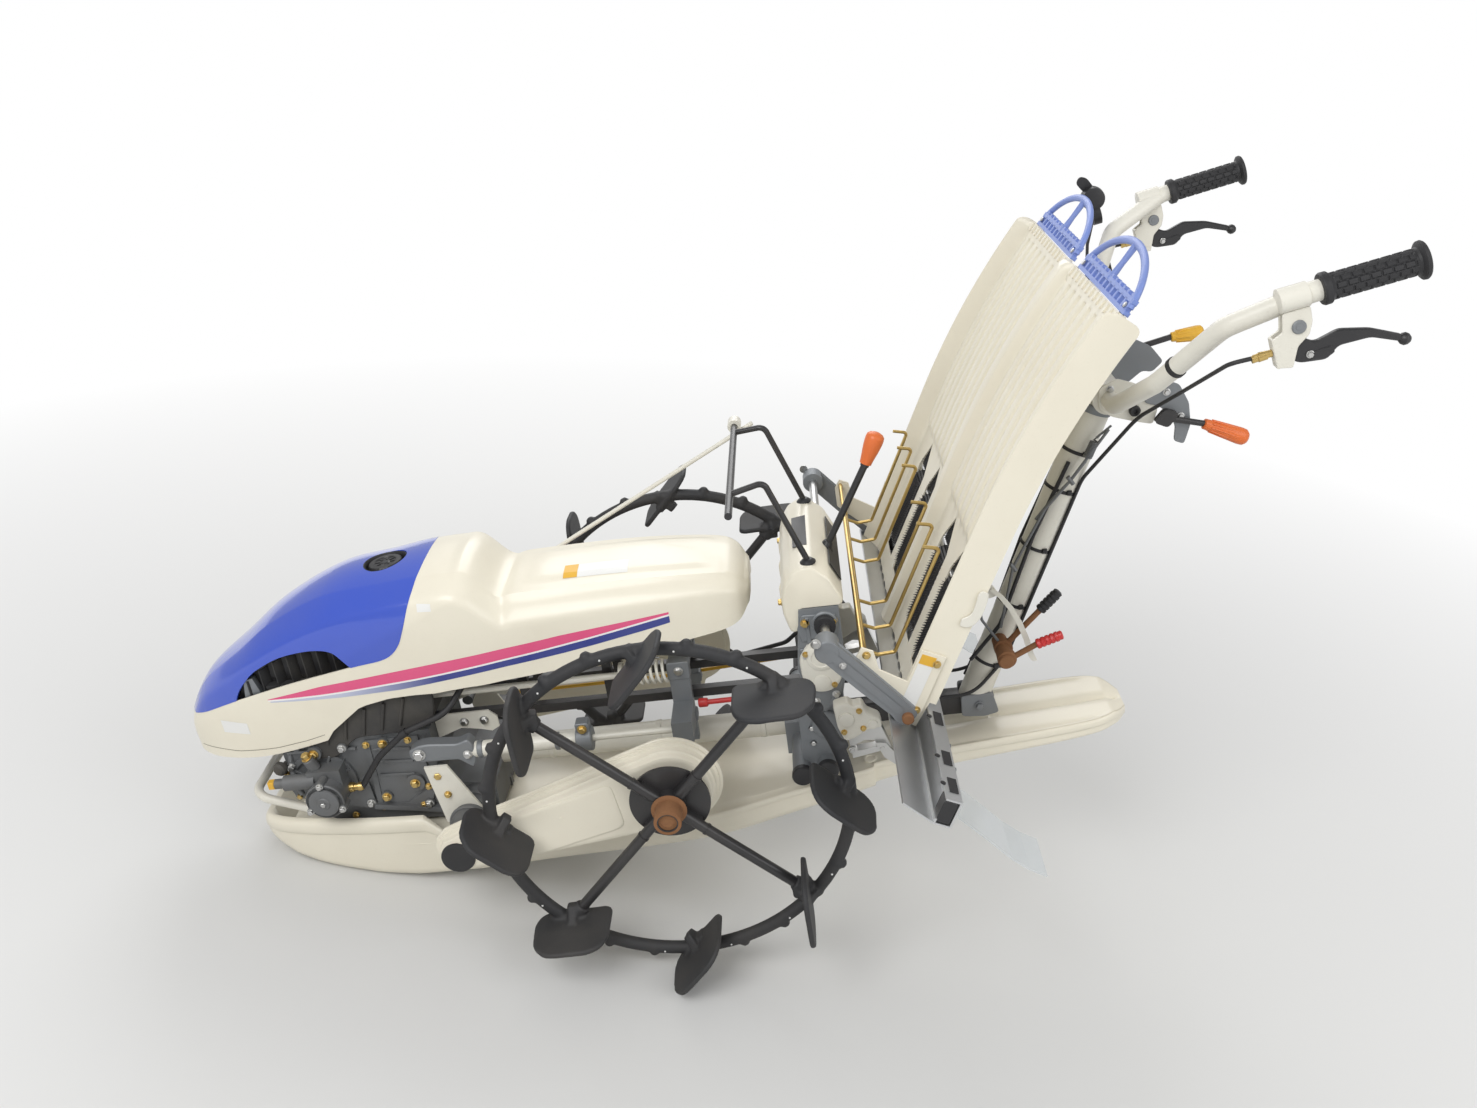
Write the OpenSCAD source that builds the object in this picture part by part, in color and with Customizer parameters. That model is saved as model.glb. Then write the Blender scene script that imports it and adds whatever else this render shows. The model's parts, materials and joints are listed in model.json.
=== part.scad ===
// Walk-behind two-row rice transplanter, parked nose-down on its float and lugged wheels.
// The machine is drawn level about its wheel axle: +X forward, +Y left, +Z up, in millimetres.
// stance() then sets it down on the floor, with the origin under the middle of the whole machine.

/* [Stance] */
// Nose-down lean of the parked machine in degrees
nose_down = 11.5; // [10:0.1:13]
// Height of the wheel axle over the floor
axle_h = 329.36; // [324:0.02:334]
// Axle ahead of the middle of the machine's length
axle_x = 30.7; // [20:0.1:40]
// Seat gap between pieces that are bolted or pressed together
seat = 0.3; // [0.1:0.05:0.5]
// Running clearance of a shaft in its bore
run = 0.05; // [0.03:0.01:0.08]

/* [Wheels] */
// Half tread, from the middle plane to the rim plane
half_tread = 300; // [290:1:315]
// Outer radius of the rubber ring
rim_r = 301; // [290:1:310]
// Thickness of the round rubber ring
ring_d = 22; // [18:1:26]
// Turn of the first lug up from the level line behind the axle, as parked
first_lug = 148; // [135:0.5:165]
// Number of lugs on a wheel
lug_count = 8; // [6:1:10]
// Length of a lug blade
lug_len = 130; // [110:1:140]
// Width of a lug blade along the axle
lug_w = 110; // [80:1:120]
// Part of the blade's width inboard of the rim plane
lug_in = 13; // [8:1:20]
// Blade thickness
lug_t = 9; // [6:0.5:12]
// Distance of the blade's middle inside the ring's outer radius
lug_inset = 22; // [15:1:30]
// Lean of a blade from the radius in degrees
lug_lean = 45; // [35:1:55]
// Height of a grip bump over the ring
bump_h = 8; // [4:1:12]
// Spoke tube diameter
spoke_d = 18; // [12:1:20]
// Outer radius of the rubber boss round a spoke's end
spoke_boss_r = 14; // [12:0.5:17]
// Radius of the hub disc
hub_disc_r = 66; // [50:1:75]
// Thickness of the hub disc
hub_disc_t = 5; // [3:0.5:8]
// Outer radius of the hub pipe
hub_r = 21.5; // [19:0.5:26]
// Radius of the wheel axle
axle_r = 15; // [12:0.5:17]
// Length of the hub pipe outboard of the rim plane
hub_out = 45; // [35:1:60]

/* [Swing cases] */
// Inner face of a swing case from the middle plane
case_in = 218; // [210:1:222]
// Thickness of a swing case
case_t = 44; // [36:1:48]
// Distance of the front pivot ahead of the axle
pivot_x = 375; // [360:1:390]
// Height of the front pivot over the axle
pivot_z = -90; // [-100:1:-80]
// Radius of the front end
case_front_r = 45; // [38:1:50]
// Radius of the rear end
case_rear_r = 84; // [60:1:86]
// Radius of the drive housing between gearbox and case
housing_r = 32; // [26:1:33]

/* [Float] */
// Length of the tail's round end behind the axle
tail_end = 786; // [760:1:800]
// Height of the float's bow tip
bow_z = -120; // [-130:1:-112]
// Raised rim over the deck round the front half
rim_top_z = -92; // [-100:1:-90]
// Deck height under the gearbox
deck_z = -131; // [-136:1:-130]

/* [Hood] */
// Wall thickness of the moulded hood
hood_t = 3; // [2:0.5:4]
// Gap between the front cap and the rear moulding
hood_gap = 0.6; // [0.4:0.1:1.5]
// Radius of the filler cap
fuel_cap_r = 31; // [26:1:36]
// Height of the filler cap
fuel_cap_h = 22; // [15:1:30]

/* [Engine and gearbox] */
// Half width of the gearbox
gearbox_hw = 95; // [85:1:98]
// Half width of the engine block
engine_hw = 78; // [60:1:85]
// Radius of the front guard tube
guard_r = 8; // [6:0.5:10]

/* [Frame] */
// Radius of the main tube
main_r = 24; // [20:1:27]
// Height of the main tube's axis
main_z = -52; // [-56:1:-48]
// Distance of each side rail from the middle plane
rail_y = 50; // [46:1:54]
// Side rail thickness
rail_t = 16; // [12:1:20]
// Height of the side rails' axis
rail_z = 60; // [56:1:66]

/* [Planting unit] */
// Half width over the planting cases
unit_hw = 150; // [140:1:155]
// Thickness of a planting case
unit_t = 40; // [30:1:50]
// Radius of the cross feed shaft
feed_r = 8; // [6:0.5:10]
// Place of the cross feed shaft behind the axle
feed_x = -278; // [-282:1:-274]
// Height of the cross feed shaft
feed_z = 224; // [218:1:228]
// Radius of the frame cross tubes
cross_r = 17; // [14:1:19]

/* [Seedling tray] */
// Shift of the tray to the right at rest
tray_shift = -112; // [-125:1:-100]
// Half width over the side walls
tray_hw = 345; // [335:1:350]
// Outward slant of each side wall over its depth
wall_slant = 20; // [15:1:24]
// Distance of each belt from its lane's middle
belt_off = 60; // [55:1:65]
// Width of a feed belt
belt_w = 60; // [50:1:66]
// Distance of the outer retainer wires from their lane's middle
wire_off = 90; // [80:1:95]
// Slope of the straight lower part in degrees
tray_slope = 64.5; // [62:0.5:67]
// Length of the straight lower part
tray_straight = 330; // [310:1:350]
// Radius of the curved upper part
tray_bend_r = 1474; // [1300:1:1700]
// Angle of the curved upper part in degrees
tray_bend_a = 14.4; // [12:0.1:17]
// Thickness of the moulded floor
tray_t = 3; // [2:0.5:4]
// Depth of the side walls over the floor
wall_h = 34; // [28:1:38]
// Depth of the side walls behind the floor
wall_back = 26; // [20:1:30]
// Ribs in each lane
lane_ribs = 10; // [6:1:12]
// Height of a floor rib
rib_h = 5; // [3:0.5:7]
// Width of a floor rib
rib_w = 9; // [6:0.5:14]

/* [Handles] */
// Radius of the handle column
column_r = 27; // [22:1:30]
// Radius of the handlebar tube
bar_r = 14; // [12:0.5:16]
// Outer radius of a grip
grip_r = 18; // [16:0.5:21]
// Length of a grip
grip_len = 124; // [110:1:130]
// Radius of the bail wire
bail_r = 5; // [4:0.5:6]

/* [Hidden] */
$fn = 48;

// Places that follow from the sizes above
case_out = case_in + case_t;
ring_c = rim_r - ring_d / 2;
hub_in = case_out + 6 - half_tread;
boss_len = 4;
spoke_tip = ring_c - ring_d / 2 - 2;
lug_phase = first_lug - nose_down;
unit_in = unit_hw - unit_t;
unit_low = -84;
plate_y = tray_hw + 2 * seat;
plate_t = 4;
arm_y = plate_y + plate_t + seat;
arm_out = arm_y + 16;
lane_hw = tray_hw - wall_slant;
lane_c = (lane_hw + 25) / 2;

// Tube path helpers
function unit(v) = v / norm(v);
function turn(p, i) = acos(max(-1, min(1, unit(p[i] - p[i - 1]) * unit(p[i + 1] - p[i]))));
function trim(p, i, bend) = (i == 0 || i == len(p) - 1) ? 0 : bend * tan(turn(p, i) / 2);
function lap(t) = t > 0 ? 0.6 : 0;
function arc(c, r, a0, a1, n = 12) =
    [for (i = [0 : n]) c + r * [cos(a0 + (a1 - a0) * i / n), sin(a0 + (a1 - a0) * i / n)]];

module rod(a, b, r) {
    d = b - a;
    translate(a) rotate([0, acos(d[2] / norm(d)), atan2(d[1], d[0])]) cylinder(r = r, h = norm(d));
}

// Round tube along points p with bends of one radius
module pipe(p, r, bend) {
    for (i = [0 : len(p) - 2]) {
        u = unit(p[i + 1] - p[i]);
        a = trim(p, i, bend);
        b = trim(p, i + 1, bend);
        rod(p[i] + u * (a - lap(a)), p[i + 1] - u * (b - lap(b)), r);
    }
    if (len(p) > 2) for (i = [1 : len(p) - 2]) {
        u = unit(p[i] - p[i - 1]);
        v = unit(p[i + 1] - p[i]);
        w = unit(v - u * (u * v));
        c = p[i] - u * trim(p, i, bend) + w * bend;
        z = cross(-w, u);
        multmatrix([[-w[0], u[0], z[0], c[0]], [-w[1], u[1], z[1], c[1]], [-w[2], u[2], z[2], c[2]]])
            rotate_extrude(angle = turn(p, i)) translate([bend, 0]) circle(r = r + 0.1);
    }
}

// Prism along Y: an outline in X and Z between two Y values
module slab(y0, y1) { translate([0, y1, 0]) rotate([90, 0, 0]) linear_extrude(y1 - y0) children(); }
module both() { children(); mirror([0, 1, 0]) children(); }
module stance() { translate([axle_x, 0, axle_h]) rotate([0, nose_down, 0]) children(); }
module at_y(x, z, y0, y1, r) { translate([x, y1, z]) rotate([90, 0, 0]) cylinder(r = r, h = y1 - y0); }
module at_x(y, z, x0, x1, r) { translate([x0, y, z]) rotate([0, 90, 0]) cylinder(r = r, h = x1 - x0); }

// Wheels, drawn about the rim's centre for the left side
module lug_place(a, r) {
    t = 180 - a;
    translate([r * cos(t), 0, r * sin(t)]) rotate([0, -(t + lug_lean), 0]) children();
}
module lug_blade() {
    l = lug_len / 2;
    y0 = -lug_in;
    y1 = lug_w - lug_in;
    translate([0, 0, -lug_t / 2]) linear_extrude(lug_t)
        polygon([[-l, y0 + 8], [-l + 8, y0], [l - 26, y0], [l - 8, y0 + 10], [l, y0 + 30],
            [l - 4, y1 - 26], [l - 24, y1 - 4], [l - 40, y1], [-l + 34, y1], [-l + 12, y1 - 10], [-l, y1 - 34]]);
}
// Web between the ring and a blade's back
module lug_web() {
    for (m = [-1, 1]) translate([0, 0, m * lug_t * 0.4]) rotate([90, 0, 90]) linear_extrude(9, center = true)
        polygon([[-lug_in + 4, 0], [ring_d * 1.5, 0], [ring_d * 0.4, m * ring_d * 0.8], [-lug_in + 4, m * ring_d * 0.8]]);
}
module spoke_place(a) { rotate([0, a, 0]) rotate([0, -90, 0]) children(); }
module tyre() {
    step = 360 / lug_count;
    color("#26282b") difference() {
        union() {
            rotate([90, 0, 0]) rotate_extrude() translate([ring_c, 0]) circle(d = ring_d, $fn = 20);
            for (k = [0 : lug_count - 1]) {
                lug_place(lug_phase - step * k, rim_r - lug_inset) {
                    lug_blade();
                    lug_web();
                }
                for (j = [1, 2]) rotate([0, lug_phase - step * k + step * j / 3, 0])
                    at_y(-(rim_r - bump_h * 0.2), 0, -8, 8, bump_h, $fn = 16);
            }
            for (k = [0 : 3]) spoke_place(lug_phase - 90 * k)
                translate([0, 0, spoke_tip - 26]) cylinder(r = spoke_boss_r, h = 34, $fn = 18);
        }
        for (k = [0 : 3]) spoke_place(lug_phase - 90 * k)
            translate([0, 0, spoke_tip - 40]) cylinder(r = spoke_d / 2 + seat, h = 40 + seat, $fn = 18);
    }
}
module hub() {
    difference() {
        union() {
            color("#8a5a34") at_y(0, 0, hub_in, hub_out, hub_r);
            color("#202225") at_y(0, 0, hub_in + 8, spoke_d / 2 + 2, hub_r + 4);
            color("#202225") at_y(0, 0, hub_in + 16, hub_in + 16 + hub_disc_t, hub_disc_r);
            color("#202225") for (k = [0 : 3]) spoke_place(lug_phase - 90 * k)
                {
                    translate([0, 0, axle_r + 3]) cylinder(d = spoke_d, h = spoke_tip - axle_r - 3, $fn = 24);
                    translate([-spoke_d / 2, hub_in + 18, axle_r + 3])
                        cube([spoke_d, -hub_in - 18, hub_disc_r - axle_r - 10]);
                }
        }
        at_y(0, 0, hub_in - 1, hub_out + 1, axle_r + run);
    }
}
module axle() { color("#b9bcc0") at_y(0, 0, case_in + 8 - half_tread, hub_out - 6, axle_r); }
module wheel_left_tyre() { stance() translate([0, half_tread, 0]) tyre(); }
module wheel_left_hub() { stance() translate([0, half_tread, 0]) hub(); }
module wheel_left_axle() { stance() translate([0, half_tread, 0]) axle(); }
module wheel_right_tyre() { stance() mirror([0, 1, 0]) translate([0, half_tread, 0]) tyre(); }
module wheel_right_hub() { stance() mirror([0, 1, 0]) translate([0, half_tread, 0]) hub(); }
module wheel_right_axle() { stance() mirror([0, 1, 0]) translate([0, half_tread, 0]) axle(); }

// Swing case: an outline round the pivot and the axle, in three stepped layers
module case_outline(grow = 0) {
    d = norm([pivot_x, pivot_z]);
    a = atan2(pivot_z, pivot_x);
    r0 = case_rear_r + grow;
    r1 = case_front_r + grow;
    b = acos((r0 - r1) / d);
    polygon(concat(arc([0, 0], r0, a + b, a + 360 - b, 24), arc([pivot_x, pivot_z], r1, a - b, a + b, 16)));
}
// Layers of a swing case: start and end from its inner face, and growth of the outline
case_layers = [[0, 8, -10], [8, 14, 0], [14, 20, -5], [20, 32, -11], [32, case_t - 4, -15], [case_t - 4, case_t, -19]];
module swing_case() {
    color("#efe9da") difference() {
        union() {
            for (l = case_layers) slab(case_in + l[0], case_in + l[1]) {
                case_outline(l[2]);
                translate([10, -78]) circle(r = 34 + l[2]);
            }
            slab(case_out - 1, case_out + 2) polygon([[318, -36], [96, 28], [84, -58], [262, -106], [322, -96]]);
            at_y(0, 0, case_out, case_out + boss_len, axle_r + 12);
        }
        at_y(0, 0, case_in - 1, case_out + boss_len + 1, axle_r + run);
    }
}
module swing_case_left() { stance() swing_case(); }
module swing_case_right() { stance() mirror([0, 1, 0]) swing_case(); }
module pivot_caps() {
    stance() both() color("#1b1c1e") at_y(pivot_x, pivot_z, case_out, case_out + 4, case_front_r - 17);
}

// Float: the plan outline and the side profile meet as one solid
float_plan = [[795, 40], [778, 78], [732, 104], [640, 124], [505, 138], [250, 150], [60, 160], [-60, 156],
    [-170, 128], [-250, 108], [-330, 100], [-345, 88], [-500, 86], [-700, 80], [-760, 62], [-tail_end, 30]];
float_top = [[-tail_end, -72], [-760, -62], [-391, -92], [-250, -118], [100, -136], [425, -132],
    [445, rim_top_z], [770, rim_top_z], [790, rim_top_z - 8], [796, bow_z]];
float_bottom = [[780, -142], [735, -178], [690, -194], [640, -206.5], [575, -219], [505, -226], [380, -222],
    [250, -210], [29, -192], [-250, -172], [-391, -139], [-540, -120], [-678, -104], [-tail_end, -90]];
// The bottom's lowest stretch lies flat on the floor
function on_floor(p) = [p[0], max(p[1], (p[0] * sin(nose_down) - axle_h) / cos(nose_down))];
bead_z = -118;
module float_layer(z0, z1, in) {
    translate([-in, 0, z0]) linear_extrude(z1 - z0) polygon(concat([for (q = float_plan) [q[0], q[1] - in]],
        [for (i = [len(float_plan) - 1 : -1 : 0]) [float_plan[i][0], in - float_plan[i][1]]]));
}
module float() {
    stance() color("#efe9da") difference() {
        intersection() {
            union() {
                float_layer(bead_z, 0, 0);
                float_layer(-300, bead_z + 1, 4);
                difference() {
                    float_layer(-300, bead_z + 1, 0);
                    translate([250, -300, -400]) cube([700, 600, 500]);
                }
            }
            slab(-200, 200) polygon(concat(float_top, [for (p = float_bottom) on_floor(p)]));
        }
        translate([424, -112, deck_z]) cube([306, 224, 60]);
        for (y = [-45, 0, 45]) translate([-745, y - 9, -200]) slot_groove();
        both() translate([-180, 104, -140]) rotate([0, 2, 0]) cube([420, 26, 60]);
    }
}
// Groove along the tail's top
module slot_groove() {
    translate([0, 0, 200]) rotate([0, 4.6, 0]) translate([0, 0, -74]) cube([330, 18, 30]);
}
function float_deck(x) = lookup(x, [for (i = [0 : 5]) float_top[i]]);
module float_stay() {
    stance() color("#efe9da") for (x = [-250])
        slab(-16, 16) polygon([[x, float_deck(x) + seat], [x + 30, float_deck(x + 30) + seat],
            [x + 30, unit_low - seat], [x, unit_low - seat]]);
}

// Hood sections along X: place, then half width and height of the lower edge, of the crease, of the
// deck's foot and of the deck's edge, and last the height of the crown
hood_sections = [
    [873, 30, 54, 34, 74, 30, 88, 20, 95, 98], [862, 50, 42, 52, 84, 46, 110, 32, 124, 129],
    [820, 72, 36, 74, 110, 66, 156, 44, 178, 187], [742, 95, 42, 96, 150, 86, 206, 58, 232, 242],
    [660, 107, 58, 109, 190, 98, 252, 66, 286, 298], [560, 117, 86, 119, 226, 108, 292, 74, 328, 340],
    [466, 122, 122, 124, 262, 112, 312, 78, 340, 352], [400, 125, 148, 126, 290, 114, 322, 82, 348, 358],
    [340, 126, 156, 126, 316, 114, 332, 84, 350, 359], [305, 126, 158, 125, 304, 110, 324, 84, 346, 357],
    [262, 125, 163, 122, 264, 95, 291, 86, 302, 309], [225, 124, 166, 121, 265, 94, 293, 86, 304, 310],
    [100, 120, 178, 118, 270, 92, 296, 85, 306, 312], [0, 116, 190, 114, 272, 90, 295, 83, 304, 310],
    [-100, 108, 204, 105, 274, 84, 289, 76, 297, 303], [-136, 97, 214, 94, 266, 74, 280, 66, 287, 292],
    [-152, 76, 230, 74, 252, 60, 262, 52, 268, 272]];
hood_steps = 2;
function row(t, i) = t[max(0, min(len(t) - 1, i))];
// Value between rows i and i + 1, on a curve through all rows
function flow(t, i, f) = 0.5 * (2 * row(t, i) + (row(t, i + 1) - row(t, i - 1)) * f
    + (2 * row(t, i - 1) - 5 * row(t, i) + 4 * row(t, i + 1) - row(t, i + 2)) * f * f
    + (3 * row(t, i) - row(t, i - 1) - 3 * row(t, i + 1) + row(t, i + 2)) * f * f * f);
hood_rows = concat([for (i = [0 : len(hood_sections) - 2]) for (k = [0 : hood_steps - 1])
    flow(hood_sections, i, k / hood_steps)], [hood_sections[len(hood_sections) - 1]]);
// One side of a section, from the lower edge up to the crown, moved in by a wall
function hood_side(s, t) = let (d = t * 0.7) [
    [s[1] - t, s[2]], [s[3] - t, s[4]], [(s[3] + s[5]) / 2 + 1 - t, (s[4] + s[6]) / 2 + 2 - d],
    [s[5] - t, s[6] - d], [s[7] - d, s[8] - t], [s[7] - 10, (s[8] * 3 + s[9]) / 4 + 1 - t],
    [s[7] * 0.45, (s[8] + s[9] * 3) / 4 + 1 - t], [0, s[9] - t]];
function mirrored(h) = [for (i = [len(h) - 2 : -1 : 0]) [-h[i][0], h[i][1]]];
function hood_ring(s, t, drop) = let (h = hood_side(s, t))
    [for (q = concat([[s[1] - t, s[2] - drop]], h, mirrored(h), [[t - s[1], s[2] - drop]])) [s[0], q[0], q[1]]];
// Closed skin over rings of equal counts
module skin(rings) {
    n = len(rings[0]);
    m = len(rings);
    polyhedron(points = [for (r = rings) for (q = r) q], convexity = 8, faces = concat(
        [[for (i = [n - 1 : -1 : 0]) i]], [[for (i = [0 : n - 1]) (m - 1) * n + i]],
        [for (j = [0 : m - 2]) for (i = [0 : n - 1]) [j * n + i, (j + 1) * n + (i + 1) % n, (j + 1) * n + i]],
        [for (j = [0 : m - 2]) for (i = [0 : n - 1]) [j * n + i, j * n + (i + 1) % n, (j + 1) * n + (i + 1) % n]]));
}
module hood_shell() {
    n = len(hood_rows);
    inner = [for (s = concat([flow(hood_sections, 0, 0.6)], [for (i = [2 : n - 2]) hood_rows[i]]))
        hood_ring(s, hood_t, 60)];
    difference() {
        skin([for (s = hood_rows) hood_ring(s, 0, 4)]);
        skin(inner);
    }
}
// Half width inside the hood's wall at a place along it, less the seat
function hood_at(x, z) = let (k = [for (i = [1 : 4]) lookup(x, [for (s = hood_sections) [s[0], s[i]]])])
    k[0] + (k[2] - k[0]) * (z - k[1]) / (k[3] - k[1]) - hood_t - seat;
function hood_in(x) = lookup(x, [for (s = hood_sections) [s[0], s[1]]]) - hood_t - seat;
// Side view of the front cap's edge
cap_edge = [[900, 124], [852, 121], [745, 160], [640, 190], [526, 214], [452, 228], [424, 255], [412, 290],
    [396, 330], [366, 400], [900, 400]];
louvre = [[748, 166], [712, 206], [650, 238], [580, 250], [550, 246], [526, 219], [640, 196]];
arch = [[604, 20], [596, 76], [566, 108], [528, 136], [474, 148], [430, 151], [390, 151], [390, 20]];
module hood_cap() {
    stance() color("#2c4fc4") difference() {
        intersection() {
            hood_shell();
            slab(-200, 200) offset(delta = -hood_gap / 2) polygon(cap_edge);
        }
        slab(-200, 200) polygon(louvre);
        translate([462, 0, 300]) cylinder(r = fuel_cap_r + 4, h = 100);
    }
}
module hood_body() {
    stance() color("#efe9da") difference() {
        hood_shell();
        slab(-200, 200) offset(delta = hood_gap / 2) polygon(cap_edge);
        slab(-200, 200) polygon(arch);
    }
}
module fuel_cap() {
    stance() color("#1b1c1e") {
        translate([462, 0, 330]) cylinder(r = fuel_cap_r, h = fuel_cap_h);
        translate([462, 0, 240]) cylinder(r = fuel_cap_r - 8, h = 90);
    }
}
module engine() {
    stance() color("#2a2c30") difference() {
        union() {
            translate([560, -engine_hw, 64]) cube([170, 2 * engine_hw, 126]);
            translate([430, -engine_hw + 20, 64]) cube([130, 2 * engine_hw - 40, 70]);
            translate([440, -60, 134]) cube([200, 120, 106]);
        }
        translate([462, 0, 235]) cylinder(r = fuel_cap_r - 8 + seat, h = 20);
    }
}

// Gearbox with the drive housings that carry the swing cases
gearbox_side = [[700, 42], [696, -20], [676, -84], [640, -104], [440, -122], [338, -124], [338, -62],
    [400, -50], [430, -20], [430, 64 - seat], [690, 64 - seat]];
// Round bosses on the gearbox's near side: place, radius, reach beyond the box
gearbox_bosses = [[476, -38, 17, 10], [461, -85, 9, 8], [534, -62, 10, 8], [565, -72, 9, 8], [638, 46, 13, 16],
    [587, 50, 9, 12], [514, 50, 10, 10], [688, 20, 9, 8], [672, -48, 10, 9], [440, -22, 7, 12]];
module gearbox() {
    stance() color("#777b80") {
        difference() {
            union() {
                slab(-gearbox_hw, gearbox_hw) polygon(gearbox_side);
                slab(gearbox_hw - 1, gearbox_hw + 7) polygon(concat(arc([640, -20], 62, -25, 200, 14),
                    [[560, -30], [556, -88]]));
                slab(gearbox_hw - 1, gearbox_hw + 5) polygon([[548, 56], [452, 56], [446, -60], [462, -96],
                    [556, -92], [552, -20]]);
            }
            slab(gearbox_hw + 3, gearbox_hw + 20) polygon([[540, 46], [462, 46], [456, -54], [500, -80],
                [546, -80], [542, -20]]);
            slab(gearbox_hw + 3, gearbox_hw + 20) polygon(concat(arc([640, -20], 52, 20, 120, 8),
                arc([640, -20], 44, 120, 20, 8)));
        }
        both() {
            at_y(pivot_x, pivot_z, gearbox_hw - 1, case_in, housing_r);
            at_y(414, 4, gearbox_hw - 1, 150, 10);
        }
        for (b = gearbox_bosses) at_y(b[0], b[1], gearbox_hw - 1, gearbox_hw + b[3], b[2]);
        at_y(621, -23, gearbox_hw - 1, 160, 32);
        at_y(621, -23, 159, 163, 26);
        translate([592, gearbox_hw - 1, -40]) cube([60, 40, 62]);
        at_x(126, 2, 640, 697, 14);
        at_x(126, 2, 696, 714, 9);
        slab(gearbox_hw - 1, gearbox_hw + 12) polygon([[560, -84], [440, -104], [404, -106], [404, -96],
            [440, -94], [560, -74]]);
        at_y(440, 44, gearbox_hw - 1, 118 - seat, 10);
        both() at_y(672, 56, gearbox_hw - 1, hood_in(680), 8);
    }
}
// Belt cover beside the engine
module belt_cover() {
    stance() color("#23262e") slab(engine_hw + seat, engine_hw + 15)
        polygon(concat(arc([532, 112], 46, 60, 250, 12), [[560, 70], [640, 70]], arc([628, 104], 34, -80, 70, 10)));
}
module front_guard() {
    y = gearbox_hw + guard_r + seat;
    stance() color("#efe9da") pipe([[655, y, -80], [772, y, -32], [772, -y, -32], [655, -y, -80]], guard_r, 30);
}
module pivot_brackets() {
    stance() both() color("#efe9da") difference() {
        slab(150, 155) polygon([[434, 24], [394, 24], [350, -70], [372, -96], [418, -92]]);
        at_y(pivot_x, pivot_z, 140, 160, housing_r + seat);
    }
}
module lift_arm() {
    stance() color("#84888d") {
        slab(118, 142) polygon(concat(arc([440, 44], 16, -90, 90, 8), [[372, 54], [352, 62], [352, 10], [372, 28]]));
    }
}
// Plate that joins each side rail to the gearbox
module link_plates() {
    stance() both() color("#efe9da") difference() {
        slab(rail_y + rail_t / 2 + seat, rail_y + rail_t / 2 + 4 + seat)
            polygon([[428, 62], [404, 70], [330, 70], [316, 56], [316, 36], [330, 28], [350, 34], [384, 40], [428, 24]]);
        for (x = [340, 376]) at_y(x, 52, rail_y, rail_y + 30, 4.5);
    }
}
module lift_rod() {
    stance() {
        color("#efe9da") at_x(130, 36, 165, 352, 14);
        color("#84888d") at_x(130, 36, 140, 165, 20);
        color("#d9dbde") at_x(130, 36, 0, 140, 6);
    }
}
module main_tube() { stance() color("#dcdcd6") at_x(0, main_z, -186, 338, main_r); }
module side_rails() {
    stance() both() color("#1f2124")
        union() {
            translate([-235, rail_y - rail_t / 2, rail_z - rail_t / 2]) cube([665 - seat, rail_t, rail_t]);
            for (x = [100, 250]) {
                translate([x, rail_y - rail_t / 2, rail_z]) cube([16, rail_t, 150]);
                translate([x, rail_y, rail_z + 134]) cube([16, hood_at(x, rail_z + 150) - rail_y, 16]);
            }
        }
}
module arch_bracket() {
    o = rail_y + rail_t / 2;
    stance() color("#84888d") {
        both() translate([-35, o, -25]) cube([35, 16, 155]);
        translate([-35, -o, 110]) cube([35, 2 * o, 20]);
        translate([-35, o + 16, 16]) cube([35, 70, 40]);
    }
}
// Spring of round wire, each half turn an arc tilted by half the rise
module coil(r, wire, rise, turns) {
    tilt = atan(rise / 4 / r);
    for (k = [0 : 2 * turns - 1]) translate([0, 0, rise * (k + 0.5) / 2]) rotate([0, 0, 180 * (k % 2)])
        rotate([0, tilt, 0]) rotate_extrude(angle = 180) translate([r / cos(tilt), 0]) circle(r = wire, $fn = 16);
}
module coil_spring() {
    stance() {
        color("#efe9da") {
            translate([seat + 2.6, 70, 118]) rotate([0, 90, 0]) coil(18.5, 2.6, (75 - seat) / 7, 7);
            at_x(70, 118, 78, 84, 22);
        }
        color("#d9dbde") at_x(70, 118, 78, 430, 6);
    }
}

// Planting unit: two cases, the feed box over them and the cross tubes
unit_side = [[-238, 249], [-303, 249], [-305, 130], [-292, 72], [-264, 54], [-236, 66], [-226, 140]];
module planting_case() {
    stance() color("#84888d") difference() {
        union() {
            both() slab(unit_in, unit_hw) polygon(unit_side);
            slab(-unit_in - 1, unit_in + 1) polygon([[-240, 249], [-303, 249], [-303, 192], [-240, 192]]);
            slab(-58, 58) polygon([[-235 - seat, -21], [-295, -21], [-295, 193], [-235 - seat, 193]]);
            slab(-58, 58) polygon([[-186 - seat, unit_low], [-280, unit_low], [-295 + seat, -66],
                [-295 + seat, -20], [-186 - seat, -20]]);
            for (c = [[-212, -58], [-256, -52]]) at_y(c[0], c[1], -unit_hw - 10, unit_hw + 10, cross_r);
            both() translate([-276, unit_in + 4, -60]) cube([60, 30, 126]);
        }
        at_y(feed_x, feed_z, -unit_hw - 1, unit_hw + 1, feed_r + run);
    }
}
module case_covers() {
    stance() both() color("#efe9da") slab(unit_hw, unit_hw + 9)
        polygon(concat(arc([-265, 162], 35, 10, 170, 12), arc([-262, 114], 20, 200, 340, 8)));
}
module shaft_boots() {
    stance() both() color("#151617") difference() {
        at_y(feed_x, feed_z, unit_hw, unit_hw + 14, 17);
        at_y(feed_x, feed_z, unit_hw - 1, unit_hw + 15, feed_r + 0.1);
    }
}
module planting_arms() {
    stance() both() color("#efe9da") slab(unit_hw + 9, unit_hw + 34)
        polygon([[-276, 82], [-300, 88], [-309, 79], [-324, 82], [-331, 64], [-351, 52], [-354, 34], [-328, 30],
            [-307, 17], [-290, 12], [-280, 40]]);
}
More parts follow.
